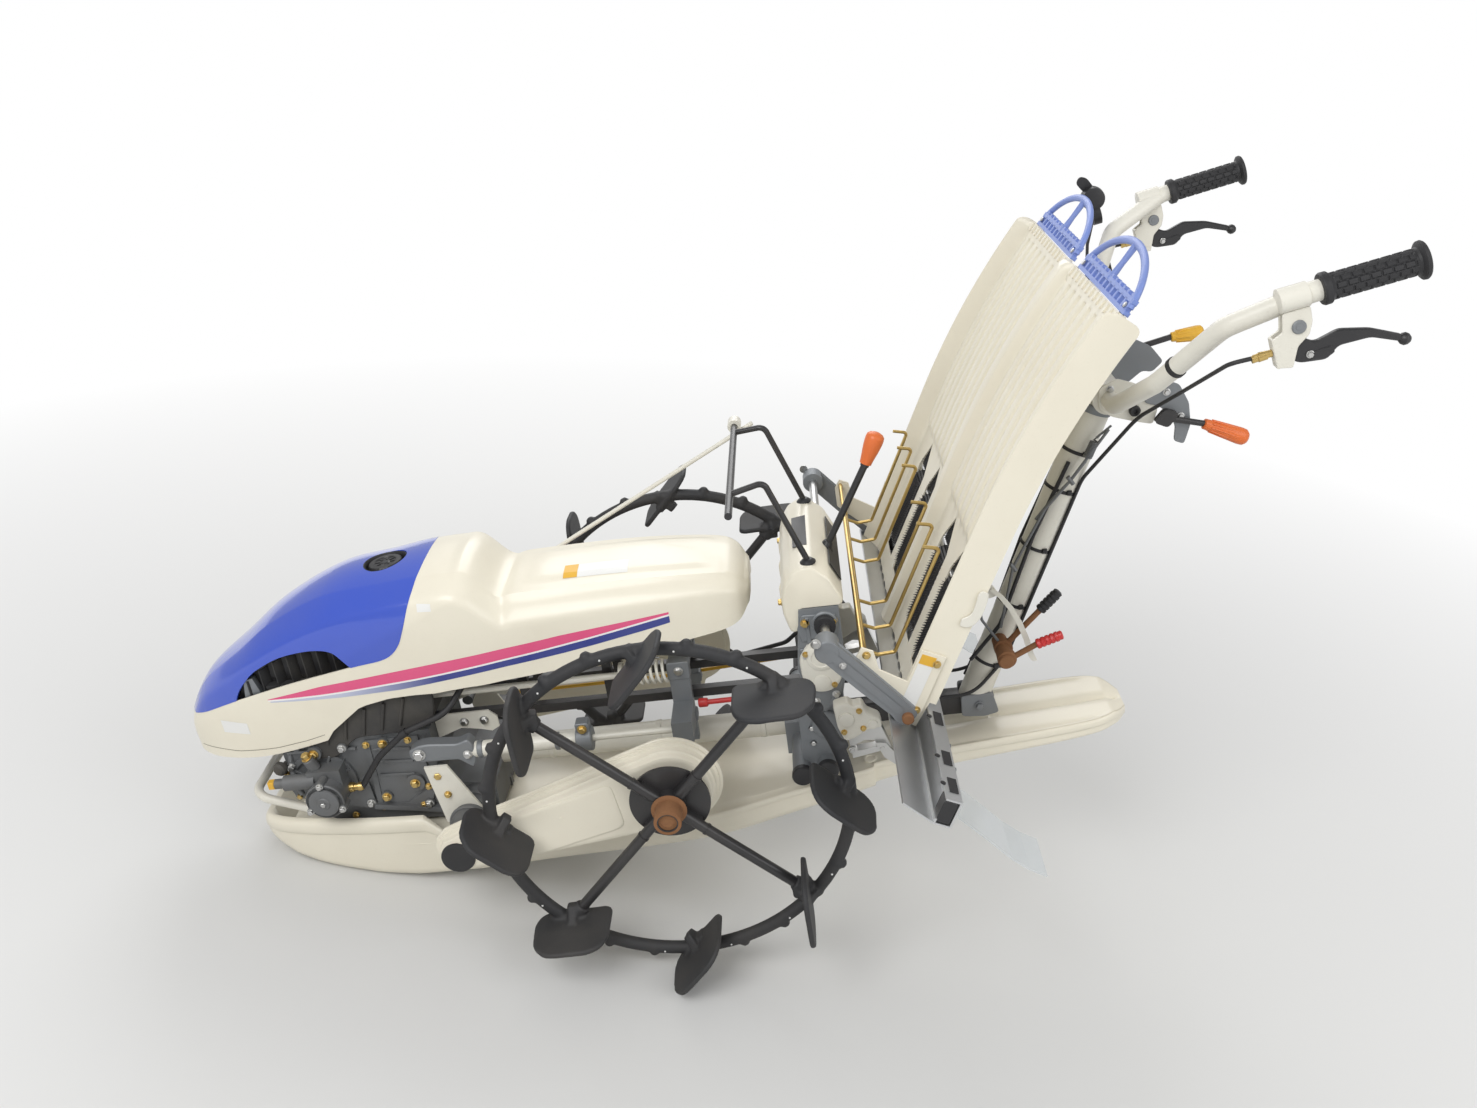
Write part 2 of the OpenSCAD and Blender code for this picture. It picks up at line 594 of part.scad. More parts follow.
module planting_claws() {
    stance() both() color("#84888d")
        slab(unit_hw + 12, unit_hw + 30) difference() {
            polygon([[-296, 13.5], [-307, 16.7], [-328, 29.7], [-352, 33.4], [-372, -30], [-364, -38],
                [-350, -14], [-300, -24]]);
            polygon([[-306, 2], [-322, 10], [-338, 8], [-342, -6], [-308, -10]]);
        }
    stance() both() color("#c9ccd0") slab(unit_hw + 30, unit_hw + 36)
        polygon([[-340, 6], [-356, 4], [-402, -62], [-397, -66], [-352, -24]]);
}
module unit_cover() {
    stance() color("#d7d8d6") difference() {
        slab(-unit_hw + 4, unit_hw - 4)
            polygon([[-221, 205], [-212, 240], [-212, 268], [-219, 292], [-232, 312], [-250, 322], [-268, 322],
                [-294, 300], [-312, 262],
                [-312, 249 + seat], [-238 + seat, 249 + seat], [-232, 205]]);
        rod(shift_foot - seat * shift_u, shift_foot + 80 * shift_u, 6 + seat);
    }
}
module bail() {
    stance() color("#1b1c1e") {
        pipe([[-154, 140, 459], [-208, 128, 468], [-262, 125, 322 + seat + bail_r * 0.38]], bail_r, 14);
        pipe([[-154, -140, 459], [-208, -128, 468], [-262, -125, 322 + seat + bail_r * 0.38]], bail_r, 14);
        at_y(-154, 459, -170, 226, bail_r + 1);
    }
}
module marker_rod() {
    stance() {
        color("#f2f0ea") rod([-186, -180, 459], [240, -180, 242], 4);
        color("#1b1c1e") at_y(-154, 459, -196, -170 - seat, 12);
    }
}
shift_foot = [-281, 24, 274];
shift_top = [-372, 4, 430];
shift_u = unit(shift_top - shift_foot);
module shift_lever() {
    stance() {
        color("#1b1c1e") rod(shift_foot, shift_top, 6);
        color("#e8743a") rod(shift_top - shift_u, [-396, 0, 481], 15);
    }
}

// Tray frame: local X is the face's normal, local Z runs up the slope
tray_x = -403;
tray_z = 80;
module on_slope(shift = tray_shift) {
    translate([tray_x, shift, tray_z]) rotate([0, tray_slope - 90, 0]) children();
}
module slide_rail() {
    stance() on_slope(0) color("#b9bcc0") translate([0, 478, 0]) rotate([90, 0, 0]) linear_extrude(956)
        polygon([[42, -5], [-12, -23], [-40, -23], [-40, 24], [-15, 24], [-15, 21], [-37, 21], [-37, -20],
            [-15, -20], [-15, -13], [-12, -13], [-12, -20], [41, -2]]);
}
// Clear guards that hang behind the rail's ends
module side_guards() {
    stance() both() on_slope(0) color("#dfe5e8") slab(296, 388) polygon([[-40 - seat, 18], [-43, 18], [-43, -30],
        [-60, -49], [-92, -63], [-136, -81], [-186, -103], [-220, -113], [-252, -117], [-252, -120], [-220, -116],
        [-186, -106], [-136, -84], [-92, -66], [-58, -52], [-40 - seat, -32]]);
}
// Top of the rail's front lip, on which the tray's foot slides
function lip(n) = -20 + (n + 12) * 18 / 53;
module rail_stays() {
    stance() color("#1f2124") difference() {
        on_slope(0) translate([-36, -40, -90]) cube([24, 80, 67]);
        translate([-700, -100, -228]) cube([600, 200, 200]);
    }
}
module rear_beam() { stance() color("#1f2124") translate([-505, -17, -62]) cube([210, 34, 34]); }
column_foot = [-529, 0, -28];
column_top = [-748, 0, 484];
column_u = unit(column_top - column_foot);
head_c = column_top + column_u * 29;
module column() {
    stance() color("#d7d8d6") {
        difference() {
            rod(column_foot - column_u * 22, column_top + column_u * 10, column_r);
            at_y(head_c[0], head_c[2], -60, 60, 26 + seat);
            translate([-505 - seat, -17 - seat, -100]) cube([60, 34 + 2 * seat, 72 + seat]);
        }
    }
}
module handle_head() {
    stance() color("#efe9da") difference() {
        at_y(head_c[0], head_c[2], -50, 50, 26);
        at_y(head_c[0], head_c[2], -51, 51, bar_r + seat);
    }
}
bar_half = [[head_c[0], 84, head_c[2]], [-786, 220, 588], [-850, 312, 688], [-945, 350, 733],
    [-1081, 350, 757.5]];
bar_path = concat([for (i = [4 : -1 : 0]) bar_half[i]], [for (p = bar_half) [p[0], -p[1], p[2]]]);
module handlebar() { stance() color("#efe9da") pipe(bar_path, bar_r, 40); }
// Frame along a grip: local X runs out along the bar, local Z points down
grip_dir = unit(bar_half[4] - bar_half[3]);
module on_grip() {
    translate(bar_half[4]) rotate([0, 180 + atan2(grip_dir[2], -grip_dir[0]), 0]) children();
}
module grips() {
    stance() both() on_grip() color("#1b1c1e") difference() {
        union() {
            translate([-grip_len + 4, 0, 0]) rotate([0, 90, 0]) cylinder(r = grip_r, h = grip_len);
            translate([-2, 0, 0]) rotate([0, 90, 0]) cylinder(r = grip_r + 7, h = 6);
            translate([-grip_len + 4, 0, 0]) rotate([0, 90, 0]) cylinder(r = grip_r + 3, h = 8);
        }
        translate([-grip_len, 0, 0]) rotate([0, 90, 0]) cylinder(r = bar_r + seat, h = grip_len + seat);
    }
}
module lever_brackets() {
    side = [[-178, 6], [-142, 6], [-142, 36], [-148, 52], [-164, 64], [-174, 91], [-194, 86], [-195, 46], [-181, 40]];
    stance() both() color("#efe9da") difference() {
        on_grip() {
            slab(-8, -5) polygon(side);
            slab(5, 8) polygon(side);
            slab(-8, 8) polygon([[-194, 86], [-195, 46], [-191, 46], [-190, 87]]);
        }
        pipe([for (i = [2 : 4]) bar_half[i]], bar_r + seat, 40);
    }
}
module clutch_levers() {
    stance() both() on_grip() color("#1b1c1e") {
        slab(seat - 5, 5 - seat) polygon([[-158, 54], [-142, 66], [-110, 58], [-71, 69], [-32, 90], [-36, 98],
            [-72, 81], [-113, 80], [-129, 94], [-162, 89], [-171, 84], [-168, 62]]);
        translate([-30, 0, 97]) sphere(r = 8);
    }
}
// Plates on the handle head: a light plate, with the levers' quadrant outside it
plate_near = [[-742, 496], [-742, 530], [-770, 544], [-800, 532], [-818, 506], [-834, 488], [-826, 462],
    [-797, 470], [-762, 482]];
quadrant_near = [[-812, 500], [-816, 524], [-842, 534], [-866, 524], [-881, 492], [-884, 456], [-874, 424],
    [-858, 431], [-860, 456], [-850, 478], [-834, 492]];
plate_far = [[-742, 500], [-742, 536], [-780, 566], [-815, 576], [-850, 556], [-870, 528], [-852, 512],
    [-836, 516], [-815, 500], [-790, 486], [-760, 484]];
module control_plates() {
    stance() color("#c6c9c8") difference() {
        union() {
            slab(50 + seat, 54) polygon(plate_near);
            slab(53, 57) polygon(quadrant_near);
            slab(-54, -50 - seat) polygon(plate_far);
        }
        at_y(head_c[0], head_c[2], -60, 60, bar_r + seat);
        at_y(-797, 489, 40, 60, 7);
    }
}
module knob(a, b, r1, r2) {
    d = b - a;
    translate(a) rotate([0, acos(d[2] / norm(d)), atan2(d[1], d[0])]) cylinder(r1 = r1, r2 = r2, h = norm(d));
}
module control_levers() {
    stance() {
        color("#1b1c1e") rod([-850, 63, 472], [-906, 63, 456], 5);
        color("#e8743a") knob([-902, 63, 457], [-968, 63, 425], 9, 14);
        color("#1b1c1e") rod([-806, -60, 548], [-892, -60, 566], 5);
        color("#e7b93c") knob([-884, -60, 564], [-934, -60, 566], 9, 13);
    }
}
// Control cables from the clutch brackets down the column, clipped to it on both sides
function off_bar(u, w) = bar_half[4] + grip_dir * u + [-grip_dir[2], 0, grip_dir[0]] * w;
cable_r = 3;
cable_off = column_r + cable_r + 2 * seat;
cable_on = [-column_u[2] * cable_off * sin(40), cable_off * cos(40), column_u[0] * cable_off * sin(40)];
cable_y = 40 + cable_r + seat;
cable_path = [off_bar(-217, 66), off_bar(-250, 64), [-838, 160, 548], [-800, 60, 478],
    column_foot + column_u * 440 + cable_on, column_foot + column_u * 90 + cable_on,
    [-520, cable_y, -8], [-295 - seat, cable_y, -8]];
module control_cables() {
    stance() both() {
        color("#b89b3c") rod(off_bar(-195 - seat, 66), off_bar(-218, 66), 5);
        color("#1b1c1e") pipe(cable_path, cable_r, 18);
    }
}
// Hose from the valve on the gearbox up to the frame under the hood
hose_path = [[589 - seat, 116, -26], [566, 116, -26], [520, 122, 34], [462, 123, 80], [384, 118, 106],
    [322, rail_y + 2, 176], [266 + seat, rail_y + 2, 176]];
module oil_hose() {
    stance() {
        color("#b89b3c") rod(hose_path[0], hose_path[1], 8);
        color("#1b1c1e") pipe([for (i = [1 : 6]) hose_path[i]], 5.5, 22);
    }
}
module side_levers() {
    stance() {
        color("#1b1c1e") at_y(-572, 88, column_r + seat, 108, 12);
        color("#1b1c1e") rod([-580, 60, 96], [-640, 60, 156], 5);
        color("#1b1c1e") rod([-640, 60, 156], [-669, 60, 184], 9);
        color("#1b1c1e") rod([-582, 98, 90], [-626, 98, 112], 5);
        color("#d03a30") rod([-626, 98, 112], [-666, 98, 124], 9);
    }
}

// Tray cross section: floor, ribs, centre divider and side walls, symmetric about the lanes
module tray_section() {
    w = tray_t;
    half = [[-w, 0], [22, 0], [22, 6], [0, 26], [0, lane_hw], [wall_h, tray_hw - w], [wall_h, tray_hw],
        [-w, lane_hw + w], [-wall_back, tray_hw], [-wall_back, tray_hw - w], [-w, lane_hw]];
    for (m = [0, 1]) mirror([0, m]) {
        polygon(half);
        pitch = (lane_hw - 26 - 20) / lane_ribs;
        for (i = [0 : lane_ribs - 1]) translate([0, 26 + 10 + pitch * (i + 0.5) - rib_w / 2])
            square([rib_h, rib_w]);
    }
}
belt_rows = [for (m = [-1, 1]) for (o = [-belt_off, belt_off]) m * lane_c + o];
module tray() {
    stance() on_slope() color("#efe9da") {
        difference() {
            translate([0, 0, -20]) linear_extrude(tray_straight + 20) tray_section();
            for (y = belt_rows) translate([-60, y, 0]) rotate([90, 0, 90]) linear_extrude(120)
                polygon([for (p = [[-1, 26], [1, 26], [1, 205], [0, 262], [-1, 205]]) [p[0] * (belt_w / 2 + 6), p[1]]]);
            slab(-400, 400) polygon([[-60, -40], [60, -40], [60, lip(60) + seat], [-11, lip(-11) + seat],
                [-11, 32], [-60, 32]]);
            at_y(-16, 60, -400, 400, 6 + 0.1);
            at_y(-16, 180, -400, 400, 6 + 0.1);
        }
        translate([-tray_bend_r, 0, tray_straight]) rotate([90, 0, 0])
            rotate_extrude(angle = tray_bend_a, $fn = 180) translate([tray_bend_r, 0]) tray_section();
        both() slab(plate_y, plate_y + plate_t) polygon([[-8, 2], [84, 30], [108, 38], [126, 74], [124, 94],
            [104, 94], [84, 66], [34, 60], [34, 120], [-8, 120]]);
        both() translate([22, tray_hw - 4, 10]) cube([12, 4 + 2 * seat + 1, 100]);
    }
}
module belt_shafts() {
    stance() on_slope() color("#b9bcc0") for (z = [60, 180]) at_y(-16, z, 5 - tray_hw, tray_hw - 5, 6);
}
module feed_belts() {
    stance() on_slope() color("#151617") for (y = belt_rows) difference() {
        slab(y - belt_w / 2, y + belt_w / 2) polygon(concat(arc([-16, 60], 18, 180, 360, 10), arc([-16, 180], 18, 0, 180, 10)));
        for (z = [60, 180]) at_y(-16, z, -400, 400, 6 + 0.1);
    }
}
wire_rows = [for (m = [-1, 1]) for (o = [-wire_off, 0, wire_off]) m * lane_c + o];
module mat_wires() {
    stance() on_slope() color("#b89b3c") {
        for (y = wire_rows) pipe([[75, y, 252], [48, y, 258], [48, y, 62], [72, y, 48], [96, y, 48]], 3, 6);
        for (c = [[96, 48], [118, 84]]) at_y(c[0], c[1], seat - plate_y, plate_y - seat, 4);
        both() rod([96, 280, 48], [118, 280, 84], 3);
    }
}
function oval(w, h, a0, a1, n) = [for (i = [0 : n]) let (a = a0 + (a1 - a0) * i / n) [w * cos(a), h * sin(a)]];
module mat_stoppers() {
    stance() on_slope() color("#8aa3dc") translate([-tray_bend_r, 0, tray_straight]) rotate([0, -tray_bend_a, 0])
        translate([tray_bend_r, 0, seat]) for (y = [-lane_c, lane_c]) translate([-6, y, 0]) rotate([90, 0, 90])
            linear_extrude(10) difference() {
                polygon(concat([[-150, 0]], oval(150, 92, 172, 8, 18), [[150, 0]]));
                for (m = [0, 1]) mirror([m, 0]) {
                    polygon(concat([[9, 26]], oval(124, 70, 84, 22, 8), [[114, 26]]));
                    for (k = [0 : 2]) translate([20 + 38 * k, 7]) square([24, 11]);
                }
            }
}
module feed_shaft() {
    stance() translate([0, tray_shift, 0]) color("#d9dbde") at_y(feed_x, feed_z, -arm_out, arm_out, feed_r);
}
module feed_arms() {
    stance() translate([0, tray_shift, 0]) both() color("#84888d") difference() {
        union() {
            at_y(feed_x, feed_z, arm_y - 20, arm_out, 18);
            slab(arm_y, arm_out) polygon([[-284, 240], [-262, 224], [-376, 98], [-394, 88], [-404, 94]]);
        }
        at_y(feed_x, feed_z, arm_y - 21, arm_out + 1, feed_r + 0.1);
    }
}

wheel_left_tyre();
wheel_left_hub();
wheel_left_axle();
wheel_right_tyre();
wheel_right_hub();
wheel_right_axle();
swing_case_left();
swing_case_right();
pivot_caps();
float();
float_stay();
hood_cap();
hood_body();
fuel_cap();
engine();
gearbox();
belt_cover();
front_guard();
pivot_brackets();
lift_arm();
lift_rod();
link_plates();
main_tube();
side_rails();
arch_bracket();
coil_spring();
planting_case();
case_covers();
shaft_boots();
planting_arms();
planting_claws();
unit_cover();
bail();
marker_rod();
shift_lever();
slide_rail();
rail_stays();
rear_beam();
column();
handle_head();
handlebar();
grips();
lever_brackets();
clutch_levers();
control_plates();
control_levers();
side_levers();
control_cables();
oil_hose();
side_guards();
tray();
feed_belts();
belt_shafts();
mat_wires();
mat_stoppers();
feed_shaft();
feed_arms();
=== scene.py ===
"""Looks of a walk-behind two-row rice transplanter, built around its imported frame.

Places are given in the machine's own level frame, in millimetres: X forward from the wheel axle,
Y to the left, Z up. stance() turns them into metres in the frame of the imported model.
"""
import json
import math

import bmesh
import bpy
import numpy as np
from mathutils import Matrix, Vector
from mathutils.bvhtree import BVHTree


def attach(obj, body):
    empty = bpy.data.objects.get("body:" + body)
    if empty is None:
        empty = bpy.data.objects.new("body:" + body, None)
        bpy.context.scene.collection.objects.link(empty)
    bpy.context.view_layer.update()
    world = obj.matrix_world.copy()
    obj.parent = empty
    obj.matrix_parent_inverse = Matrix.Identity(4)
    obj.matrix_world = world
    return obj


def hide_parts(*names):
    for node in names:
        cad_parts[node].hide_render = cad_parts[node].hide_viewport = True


bl_info = {
    "name": "Walk-behind rice transplanter",
    "version": (1, 0, 0),
    "blender": (4, 5, 0),
    "location": "View3D > Sidebar > Transplanter",
    "description": "Finishes and detail pieces of a two-row walk-behind rice transplanter",
    "category": "Object",
}

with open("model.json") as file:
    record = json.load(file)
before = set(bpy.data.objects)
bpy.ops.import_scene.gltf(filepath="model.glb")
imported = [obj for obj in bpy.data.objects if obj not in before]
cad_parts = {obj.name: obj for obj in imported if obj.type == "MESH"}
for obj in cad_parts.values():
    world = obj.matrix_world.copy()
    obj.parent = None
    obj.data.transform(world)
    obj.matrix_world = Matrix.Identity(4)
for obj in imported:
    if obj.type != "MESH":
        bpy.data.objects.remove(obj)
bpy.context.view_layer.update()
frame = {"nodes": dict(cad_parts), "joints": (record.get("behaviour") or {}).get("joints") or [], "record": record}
NODES = frame["nodes"]
JOINT = {j["name"]: j for j in frame["joints"]}

# Stance of the parked machine
NOSE_DOWN = math.radians(11.5)
AXLE = Vector(JOINT["wheel_left_spin"]["pos_m"])
AXLE.y = 0
STANCE = Matrix.Translation(AXLE) @ Matrix.Rotation(NOSE_DOWN, 4, "Y") @ Matrix.Scale(0.001, 4)
# Height of the axle over the ground and half the tread in millimetres; least gap under the lugs in metres
AXLE_HEIGHT = 329.36
HALF_TREAD = 300.0
GROUND_GAP = 0.0004
SIDES = (("left", 1), ("right", -1))

# The slide rail's own frame, and the tray's at its place on the rail at rest
RAIL = Matrix.Translation((-403, 0, 80)) @ Matrix.Rotation(math.radians(64.5) - math.pi / 2, 4, "Y")
TRAY_SHIFT = -112.0
SLOPE = Matrix.Translation((0, TRAY_SHIFT, 0)) @ RAIL

# Camera solved from the photograph, in degrees and metres, with the picture's width in pixels
CAMERA_PITCH, CAMERA_ROLL, CAMERA_YAW = 25.31, -4.53, 0.81
CAMERA_AT = (-0.054, 2.018, 1.597)
FOCAL_PIXELS, PICTURE_WIDTH, SENSOR_MM = 1307.0, 1477, 36
# Lamps: name, place, size and power; they face a point over the floor
LAMPS = (("key", (1.6, 2.6, 3.2), 2.2, 88), ("fill", (-2.6, 2.0, 2.4), 2.4, 38),
         ("back", (0.4, -3.0, 2.8), 2.6, 60))
LAMP_TARGET = Vector((0, 0, 0.5))
WORLD_ON_OBJECT, WORLD_SEEN = 0.52, 1.0
FLOOR_COLOUR, FLOOR_FADE = (0.66, 0.66, 0.65, 1), (0.9, 3.2)


def stance(p):
    return STANCE @ Vector(p)


# Colours as linear values
CREAM = (0.79, 0.745, 0.62, 1)
CREAM_COOL = (0.74, 0.72, 0.64, 1)
BLUE = (0.035, 0.085, 0.52, 1)
BLACK = (0.018, 0.018, 0.02, 1)
GREY = (0.22, 0.235, 0.25, 1)
CASTING = (0.17, 0.178, 0.185, 1)
ORANGE = (0.75, 0.16, 0.03, 1)
RED = (0.55, 0.03, 0.03, 1)
YELLOW = (0.75, 0.42, 0.03, 1)
GOLD = (0.60, 0.43, 0.16, 1)
STEEL = (0.56, 0.56, 0.55, 1)
RUST = (0.16, 0.055, 0.02, 1)
PALE_BLUE = (0.19, 0.27, 0.62, 1)
DUST = (0.33, 0.29, 0.22, 1)


# Property groups
class TransplanterFinish(bpy.types.PropertyGroup):
    cream: bpy.props.FloatVectorProperty(
        name="Cream", description="Colour of the hood, float, tray and cases", subtype="COLOR",
        size=4, min=0, max=1, default=CREAM)
    blue: bpy.props.FloatVectorProperty(
        name="Blue", description="Colour of the hood's front cap", subtype="COLOR",
        size=4, min=0, max=1, default=BLUE)
    rubber: bpy.props.FloatVectorProperty(
        name="Rubber", description="Colour of the lugged rings", subtype="COLOR",
        size=4, min=0, max=1, default=(0.022, 0.023, 0.026, 1))
    grime: bpy.props.FloatProperty(
        name="Grime", description="How much dust and dirt lies on the machine", subtype="FACTOR",
        min=0, max=1, default=0.5)


class TransplanterSizes(bpy.types.PropertyGroup):
    grip_blocks: bpy.props.IntProperty(
        name="Grip blocks", description="Raised blocks round a handle grip", min=6, max=20, default=12)
    bolt_head: bpy.props.FloatProperty(
        name="Bolt head", description="Width of the frame's usual bolt heads, in millimetres", min=6, max=16,
        default=11)


# Shader helpers
def link(tree, a, b):
    tree.links.new(a, b)


def node(tree, kind, **values):
    n = tree.nodes.new(kind)
    for key, value in values.items():
        if key in n.inputs:
            n.inputs[key].default_value = value
        else:
            setattr(n, key, value)
    return n


SOCKETS = {"color": "NodeSocketColor", "value": "NodeSocketFloat", "count": "NodeSocketInt",
           "shape": "NodeSocketGeometry", "material": "NodeSocketMaterial"}


def new_group(name, inputs, outputs, kind="ShaderNodeTree"):
    """A node group with its sockets, its input node and its output node."""
    g = bpy.data.node_groups.new(name, kind)
    for label, socket, default in inputs:
        s = g.interface.new_socket(label, in_out="INPUT", socket_type=SOCKETS[socket])
        if default is not None:
            s.default_value = default
    for label, socket in outputs:
        g.interface.new_socket(label, in_out="OUTPUT", socket_type=SOCKETS[socket])
    return g, node(g, "NodeGroupInput"), node(g, "NodeGroupOutput")


def ramp(tree, source, low, high):
    n = node(tree, "ShaderNodeMapRange", clamp=True)
    n.inputs["From Min"].default_value = low
    n.inputs["From Max"].default_value = high
    link(tree, source, n.inputs["Value"])
    return n.outputs["Result"]


def maths(tree, operation, *values, clamp=False):
    """Output of a math node whose inputs are sockets or plain numbers."""
    n = node(tree, "ShaderNodeMath", operation=operation, use_clamp=clamp)
    for s, v in zip(n.inputs, values):
        if isinstance(v, (int, float)):
            s.default_value = v
        else:
            link(tree, v, s)
    return n.outputs[0]


def mix(tree, factor, a, b):
    n = node(tree, "ShaderNodeMix", data_type="RGBA")
    for s, v in ((n.inputs["Factor"], factor), (n.inputs[6], a), (n.inputs[7], b)):
        if isinstance(v, bpy.types.NodeSocket):
            link(tree, v, s)
        else:
            s.default_value = v
    return n.outputs[2]


# Grime: height in metres below which it gathers, its parts' shares and what it adds to the roughness
DIRT_TOP = 0.55
LOW_SHARE, SPECK_SHARE, SETTLED_SHARE = 0.45, 0.35, 0.55
DIRT_ROUGH = 0.45


def build_grime_group():
    """Dust in broad patches, more of it low down, with fine specks."""
    g, i, o = new_group("settled_grime", [
        ("Color", "color", CREAM), ("Grime Color", "color", DUST), ("Amount", "value", 0.5),
        ("Scale", "value", 7.0), ("Roughness", "value", 0.4)],
        [("Color", "color"), ("Roughness", "value")])
    pos = node(g, "ShaderNodeTexCoord")
    split = node(g, "ShaderNodeSeparateXYZ")
    link(g, pos.outputs["Object"], split.inputs[0])
    broad = node(g, "ShaderNodeTexNoise", Detail=5.0, Roughness=0.6)
    link(g, pos.outputs["Object"], broad.inputs["Vector"])
    link(g, i.outputs["Scale"], broad.inputs["Scale"])
    specks = node(g, "ShaderNodeTexNoise", Scale=260.0, Detail=2.0, Roughness=0.7)
    link(g, pos.outputs["Object"], specks.inputs["Vector"])
    low = ramp(g, split.outputs["Z"], DIRT_TOP, 0.0)
    patch = ramp(g, broad.outputs["Fac"], 0.42, 0.75)
    speck = ramp(g, specks.outputs["Fac"], 0.62, 0.72)
    settled = maths(g, "MULTIPLY_ADD", low, LOW_SHARE, patch)
    total = maths(g, "MULTIPLY_ADD", speck, SPECK_SHARE,
                  maths(g, "MULTIPLY", settled, SETTLED_SHARE), clamp=True)
    mask = maths(g, "MULTIPLY", total, i.outputs["Amount"])
    link(g, mix(g, mask, i.outputs["Color"], i.outputs["Grime Color"]), o.inputs["Color"])
    link(g, maths(g, "MULTIPLY_ADD", mask, DIRT_ROUGH, i.outputs["Roughness"], clamp=True),
         o.inputs["Roughness"])


def build_rust_group():
    """Rust in spots and runs over paint or bare steel."""
    g, i, o = new_group("rust_spots", [
        ("Color", "color", STEEL), ("Rust Color", "color", RUST), ("Amount", "value", 0.3),
        ("Scale", "value", 30.0)], [("Color", "color")])
    pos = node(g, "ShaderNodeTexCoord")
    n = node(g, "ShaderNodeTexNoise", Detail=8.0, Roughness=0.65)
    link(g, pos.outputs["Object"], n.inputs["Vector"])
    link(g, i.outputs["Scale"], n.inputs["Scale"])
    edge = maths(g, "SUBTRACT", 0.85, maths(g, "MULTIPLY", i.outputs["Amount"], 0.5))
    mask = ramp(g, maths(g, "SUBTRACT", n.outputs["Fac"], edge), 0.0, 0.08)
    link(g, mix(g, mask, i.outputs["Color"], i.outputs["Rust Color"]), o.inputs["Color"])


def build_skin_group():
    """Height of a moulded, cast or rubber skin: fine grain over soft waves."""
    g, i, o = new_group("surface_skin", [("Grain Scale", "value", 900.0), ("Wave Scale", "value", 12.0),
                                         ("Grain", "value", 0.5)], [("Height", "value")])
    pos = node(g, "ShaderNodeTexCoord")
    fine = node(g, "ShaderNodeTexNoise", Detail=3.0, Roughness=0.6)
    wave = node(g, "ShaderNodeTexNoise", Detail=2.0, Roughness=0.4)
    for n, s in ((fine, "Grain Scale"), (wave, "Wave Scale")):
        link(g, pos.outputs["Object"], n.inputs["Vector"])
        link(g, i.outputs[s], n.inputs["Scale"])
    height = maths(g, "MULTIPLY_ADD", fine.outputs["Fac"], i.outputs["Grain"], wave.outputs["Fac"])
    link(g, height, o.inputs["Height"])


MATS = {}
COAT_ROUGH = 0.08


def group_node(tree, name, values):
    """A node of a shared group with these values on its sockets."""
    n = node(tree, "ShaderNodeGroup", node_tree=bpy.data.node_groups[name])
    for key, value in values.items():
        n.inputs[key].default_value = value
    return n


def finish_of(name, color, rough=0.4, metallic=0.0, coat=0.0, grime=0.5, rust=0.0, grain=(900.0, 12.0, 0.5),
              bump=0.1, distance=0.0004, grime_color=DUST, scale=7.0, rust_scale=30.0, alpha=1.0):
    """A finish made of the shared groups; plain numbers stay on the shader's own sockets."""
    m = bpy.data.materials.new(name)
    m.use_nodes = True
    t = m.node_tree
    bsdf = t.nodes["Principled BSDF"]
    bsdf.inputs["Metallic"].default_value = metallic
    bsdf.inputs["Coat Weight"].default_value = coat
    bsdf.inputs["Coat Roughness"].default_value = COAT_ROUGH
    bsdf.inputs["Alpha"].default_value = alpha
    dirt = group_node(t, "settled_grime", {"Color": color, "Grime Color": grime_color, "Amount": grime,
                                           "Scale": scale, "Roughness": rough})
    out = dirt.outputs["Color"]
    if rust > 0:
        spots = group_node(t, "rust_spots", {"Amount": rust, "Scale": rust_scale})
        link(t, out, spots.inputs["Color"])
        out = spots.outputs["Color"]
    link(t, out, bsdf.inputs["Base Color"])
    link(t, dirt.outputs["Roughness"], bsdf.inputs["Roughness"])
    skin = group_node(t, "surface_skin", dict(zip(("Grain Scale", "Wave Scale", "Grain"), grain)))
    b = node(t, "ShaderNodeBump", Strength=bump, Distance=distance)
    link(t, skin.outputs["Height"], b.inputs["Height"])
    link(t, b.outputs["Normal"], bsdf.inputs["Normal"])
    MATS[name] = m
    return m


# Mesh helpers, all in the machine's millimetres
def obj_from(bm, name, material, body, smooth=35, doubles=0.01, recalc=True, nodes=()):
    """A finished piece: its place in its mesh, its object at the origin, riding on a body."""
    if doubles:
        bmesh.ops.remove_doubles(bm, verts=bm.verts, dist=doubles)
    if recalc:
        bmesh.ops.recalc_face_normals(bm, faces=bm.faces)
    bmesh.ops.transform(bm, matrix=STANCE, verts=bm.verts)
    mesh = bpy.data.meshes.new(name)
    bm.to_mesh(mesh)
    bm.free()
    o = bpy.data.objects.new(name, mesh)
    bpy.context.scene.collection.objects.link(o)
    mats = material if isinstance(material, (list, tuple)) else [material]
    for m in mats:
        mesh.materials.append(MATS[m])
    if smooth is not None:
        mesh.shade_smooth()
        mesh.set_sharp_from_angle(angle=math.radians(smooth))
    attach(o, body)
    if nodes:
        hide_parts(*nodes)


def add_rings(bm, rings, close_v=False, caps=True, mat=0):
    """Quads between rings of points with equal counts."""
    vs = [[bm.verts.new(p) for p in ring] for ring in rings]
    n = len(vs[0])
    pairs = list(zip(vs, vs[1:])) + ([(vs[-1], vs[0])] if close_v else [])
    for a, b in pairs:
        for k in range(n):
            f = bm.faces.new((a[k], a[(k + 1) % n], b[(k + 1) % n], b[k]))
            f.material_index = mat
    if caps and not close_v:
        for ring in (vs[0][::-1], vs[-1]):
            bm.faces.new(ring).material_index = mat


